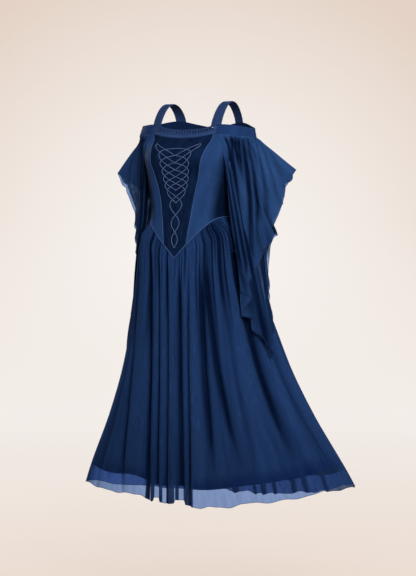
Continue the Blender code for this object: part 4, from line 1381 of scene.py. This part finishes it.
def sleeve_grid(swing_back, ruffles, lift):
    """Points of the wearer's left sleeve and the painted light of each in its folds."""
    degrees = np.arange(SLEEVE_FINE_COLUMNS) * 360 / SLEEVE_FINE_COLUMNS
    share = np.linspace(0, 1, SLEEVE_FINE_ROWS)[:, None] ** 1.1
    smooth = sleeve_surface(degrees, share, swing_back, ruffles, lift)
    out = grid_normals(smooth[:, ::-1], closed=True)[:, ::-1]
    beside = unit(np.roll(smooth, -1, axis=1) - np.roll(smooth, 1, axis=1))
    depth, dark = troughs(SLEEVE_FOLDS, degrees, share, share**0.75, 1.0, SLEEVE_FOLD_FULL)
    small = gathers(degrees / 360, share, SLEEVE_GATHERS, 52, 0.26)
    small = small * (1 - 0.7 * windows([FEWER_GATHERS_DEG], degrees, 6))
    off_tip = 1 - np.exp(-((signed_degrees(degrees) / 16) ** 2))
    reach = 0.25 + 0.75 * smoothstep(0.0, 0.6, share)
    rise = 0.003 * reach * off_tip - depth * reach * 1.25 - 0.0035 * small
    phase, heights, back = sleeve_waves(degrees)
    calm = 1 - 0.75 * windows([CALM_HEM_DEG], degrees, 8)
    ruffle = ruffles * smoothstep(0.62, 1.0, share) ** 1.6 * off_tip * calm
    pointed = np.sin(phase) + 0.35 * np.sin(1.7 * phase + 1.0)
    rise = rise + ruffle * pointed * heights * (RUFFLE_OUT + RUFFLE_OUT_MORE_BEHIND * back)
    sideways = ruffle * np.cos(phase) * RUFFLE_ASIDE
    grid = smooth + out * rise[..., None] + beside * sideways[..., None]
    grid[..., 2] += ruffle * RUFFLE_UP * np.sin(phase + 1.2) * heights
    margin = 0.003 + 0.012 * smoothstep(0.0, 0.45, share) - 0.002 * np.minimum(dark, 1)
    cleared = pushed_clear(grid[1:], np.broadcast_to(margin, grid.shape[:2])[1:])
    return np.concatenate([grid[:1], cleared]), sleeve_light(degrees, share, dark, small)


def make_sleeve(looks, name, side, swing_back, ruffles, lift):
    """A sleeve: side is 1 for the wearer's left one and -1 for its mirror image."""
    grid, shade = sleeve_grid(swing_back, ruffles, lift)
    degrees = np.arange(grid.shape[1]) * 360 / grid.shape[1]
    down = lengths_along(grid, 0)
    if side > 0:
        patches = SHEER_REACH * (0.55 + 0.45 * wander(61, 23, degrees / 360)) * (degrees > 185)
    else:
        patches = 0.5 * SHEER_REACH * np.exp(-(((degrees - 30) / 20) ** 2)) + 0.004
    cover = 0.36 + 0.60 * smoothstep(patches * 0.75, patches + 0.001, down[-1:] - down)
    if side > 0:
        grid, shade, cover = grid[:, ::-1], shade[:, ::-1], cover[:, ::-1]
    else:
        grid = grid * MIRROR
    # The fold attribute carries the painted light and shade of the folds.
    painted = {"fold": shade, "cover": cover}
    piece = add_sheet(name + "_chiffon", grid, looks["sleeve"], closed=True, painted=painted)
    sew_in(piece, name, hem_roll(name + "_hem_roll", grid, looks["hem"], closed=True))


def at_turn(turn_deg, distance, z):
    """A point at this distance from the origin's axis, turned round from centre front."""
    turn = math.radians(turn_deg)
    return math.sin(turn) * distance, -math.cos(turn) * distance, z


def studio_mesh():
    """A round pale floor that curves up into a wall."""
    profile = [(STUDIO_RADIUS - STUDIO_COVE, FLOOR_Z)]
    for step in range(1, STUDIO_COVE_STEPS + 1):
        turn = math.pi / 2 * step / STUDIO_COVE_STEPS
        out = STUDIO_RADIUS - STUDIO_COVE + STUDIO_COVE * math.sin(turn)
        profile.append((out, FLOOR_Z + STUDIO_COVE * (1 - math.cos(turn))))
    profile.append((STUDIO_RADIUS, FLOOR_Z + STUDIO_HEIGHT))
    turns = np.arange(STUDIO_SIDES) * 2 * math.pi / STUDIO_SIDES
    points = [(radius * math.cos(t), radius * math.sin(t), z) for radius, z in profile for t in turns]
    points.append((0.0, 0.0, FLOOR_Z))
    faces = [tuple(reversed(face)) for face in grid_faces(len(profile), STUDIO_SIDES, closed=True)]
    middle = len(points) - 1
    faces += [(middle, column, (column + 1) % STUDIO_SIDES) for column in range(STUDIO_SIDES)]
    mesh = bpy.data.meshes.new("studio")
    mesh.from_pydata(points, [], faces)
    mesh.shade_smooth()
    return mesh


def studio_look():
    """Pale paint with a painted pool of light behind the gown and painted shade on the floor towards
    it.
    """
    look = Look("studio_painted_light")
    place = look.node("NewGeometry").outputs["Position"]
    pool = at_turn(CAMERA_TURN_DEG, -STUDIO_RADIUS, POOL_Z)
    away = look.node("VectorMath", {0: place, 1: pool}, operation="DISTANCE").outputs["Value"]
    on_wall = look.maths("POWER", look.maths("DIVIDE", away, POOL_REACH), 1.6)
    parts = look.node("SeparateXYZ", {"Vector": place})
    level = look.node("CombineXYZ", {"X": parts.outputs["X"], "Y": parts.outputs["Y"]})
    radius = look.node("VectorMath", {0: level.outputs[0]}, operation="LENGTH").outputs["Value"]
    nearness = look.maths("DIVIDE", 1.0, look.maths("ADD", radius, CAMERA_DISTANCE))
    on_floor = look.ramp(nearness, 0.044, 0.151)
    height = look.ramp(parts.outputs["Z"], FLOOR_Z + 0.1, FLOOR_Z + 1.6)
    shade = look.maths("MINIMUM", look.mix(height, on_floor, on_wall), 1.0)
    colour = look.blend(shade, STUDIO_POOL_LIGHT, STUDIO_PAINTED_SHADE)
    grain = look.noise(place, 0.35, 2.0)
    look.set(Base_Color=colour, Roughness=look.ramp(grain, -2.0, 1.5))
    # Painted glow: camera rays see the painted colour glowing, other rays see only the paint.
    glow = look.node("Emission", {"Color": colour, "Strength": STUDIO_GLOW})
    camera_ray = look.node("LightPath").outputs["Is Camera Ray"]
    amount = look.maths("MULTIPLY", camera_ray, STUDIO_GLOW_SHARE)
    look.show(look.node("MixShader", {0: amount, 1: look.shader.outputs[0], 2: glow.outputs[0]}))
    return look.material


def make_studio():
    """A plain round studio round the gown."""
    mesh = studio_mesh()
    studio = add_to_scene("studio", mesh)
    mesh.materials.append(studio_look())


def make_lights():
    """Square soft lights aimed at the bodice, in dim pale air."""
    for name, turn_deg, distance, z, size, power, colour in LIGHTS:
        data = bpy.data.lights.new(name, "AREA")
        data.shape = "SQUARE"
        data.size = size
        data.energy = power
        data.color = colour
        add_to_scene(name, data, at_turn(turn_deg, distance, z), (0, 0, LIGHT_AIM_Z))
    world = bpy.data.worlds.new("studio_air")
    world.use_nodes = True
    air = world.node_tree.nodes["Background"].inputs
    air["Color"].default_value = AIR_COLOUR
    air["Strength"].default_value = AIR_STRENGTH
    bpy.context.scene.world = world


def make_camera():
    data = bpy.data.cameras.new("camera")
    data.sensor_fit = "VERTICAL"
    data.sensor_height = SENSOR_HEIGHT_MM
    data.lens = SENSOR_HEIGHT_MM * CAMERA_DISTANCE / FRAME_HEIGHT_AT_AXIS
    place = at_turn(CAMERA_TURN_DEG, CAMERA_DISTANCE, CAMERA_Z)
    aim = at_turn(CAMERA_TURN_DEG + 90, AIM_RIGHT, AIM_Z)
    bpy.context.scene.camera = add_to_scene("camera", data, place, aim)


def main():
    looks = make_looks()
    make_neck_band(looks)
    make_openwork_trim(looks)
    make_strap(looks, "strap_left", 1)
    make_strap(looks, "strap_right", -1)
    make_bodice(looks)
    piping = make_waist_piping(looks)
    make_skirt(looks, piping)
    make_skirt_lining(looks)
    make_sleeve(looks, "sleeve_left", 1, 0.0, 1.0, LEFT_SLEEVE_LIFT)
    make_sleeve(looks, "sleeve_right", -1, RIGHT_SLEEVE_SWING_BACK, RIGHT_RUFFLES, RIGHT_SLEEVE_LIFT)
    make_studio()
    make_lights()
    make_camera()
    bpy.context.scene.view_settings.view_transform = "Standard"


main()
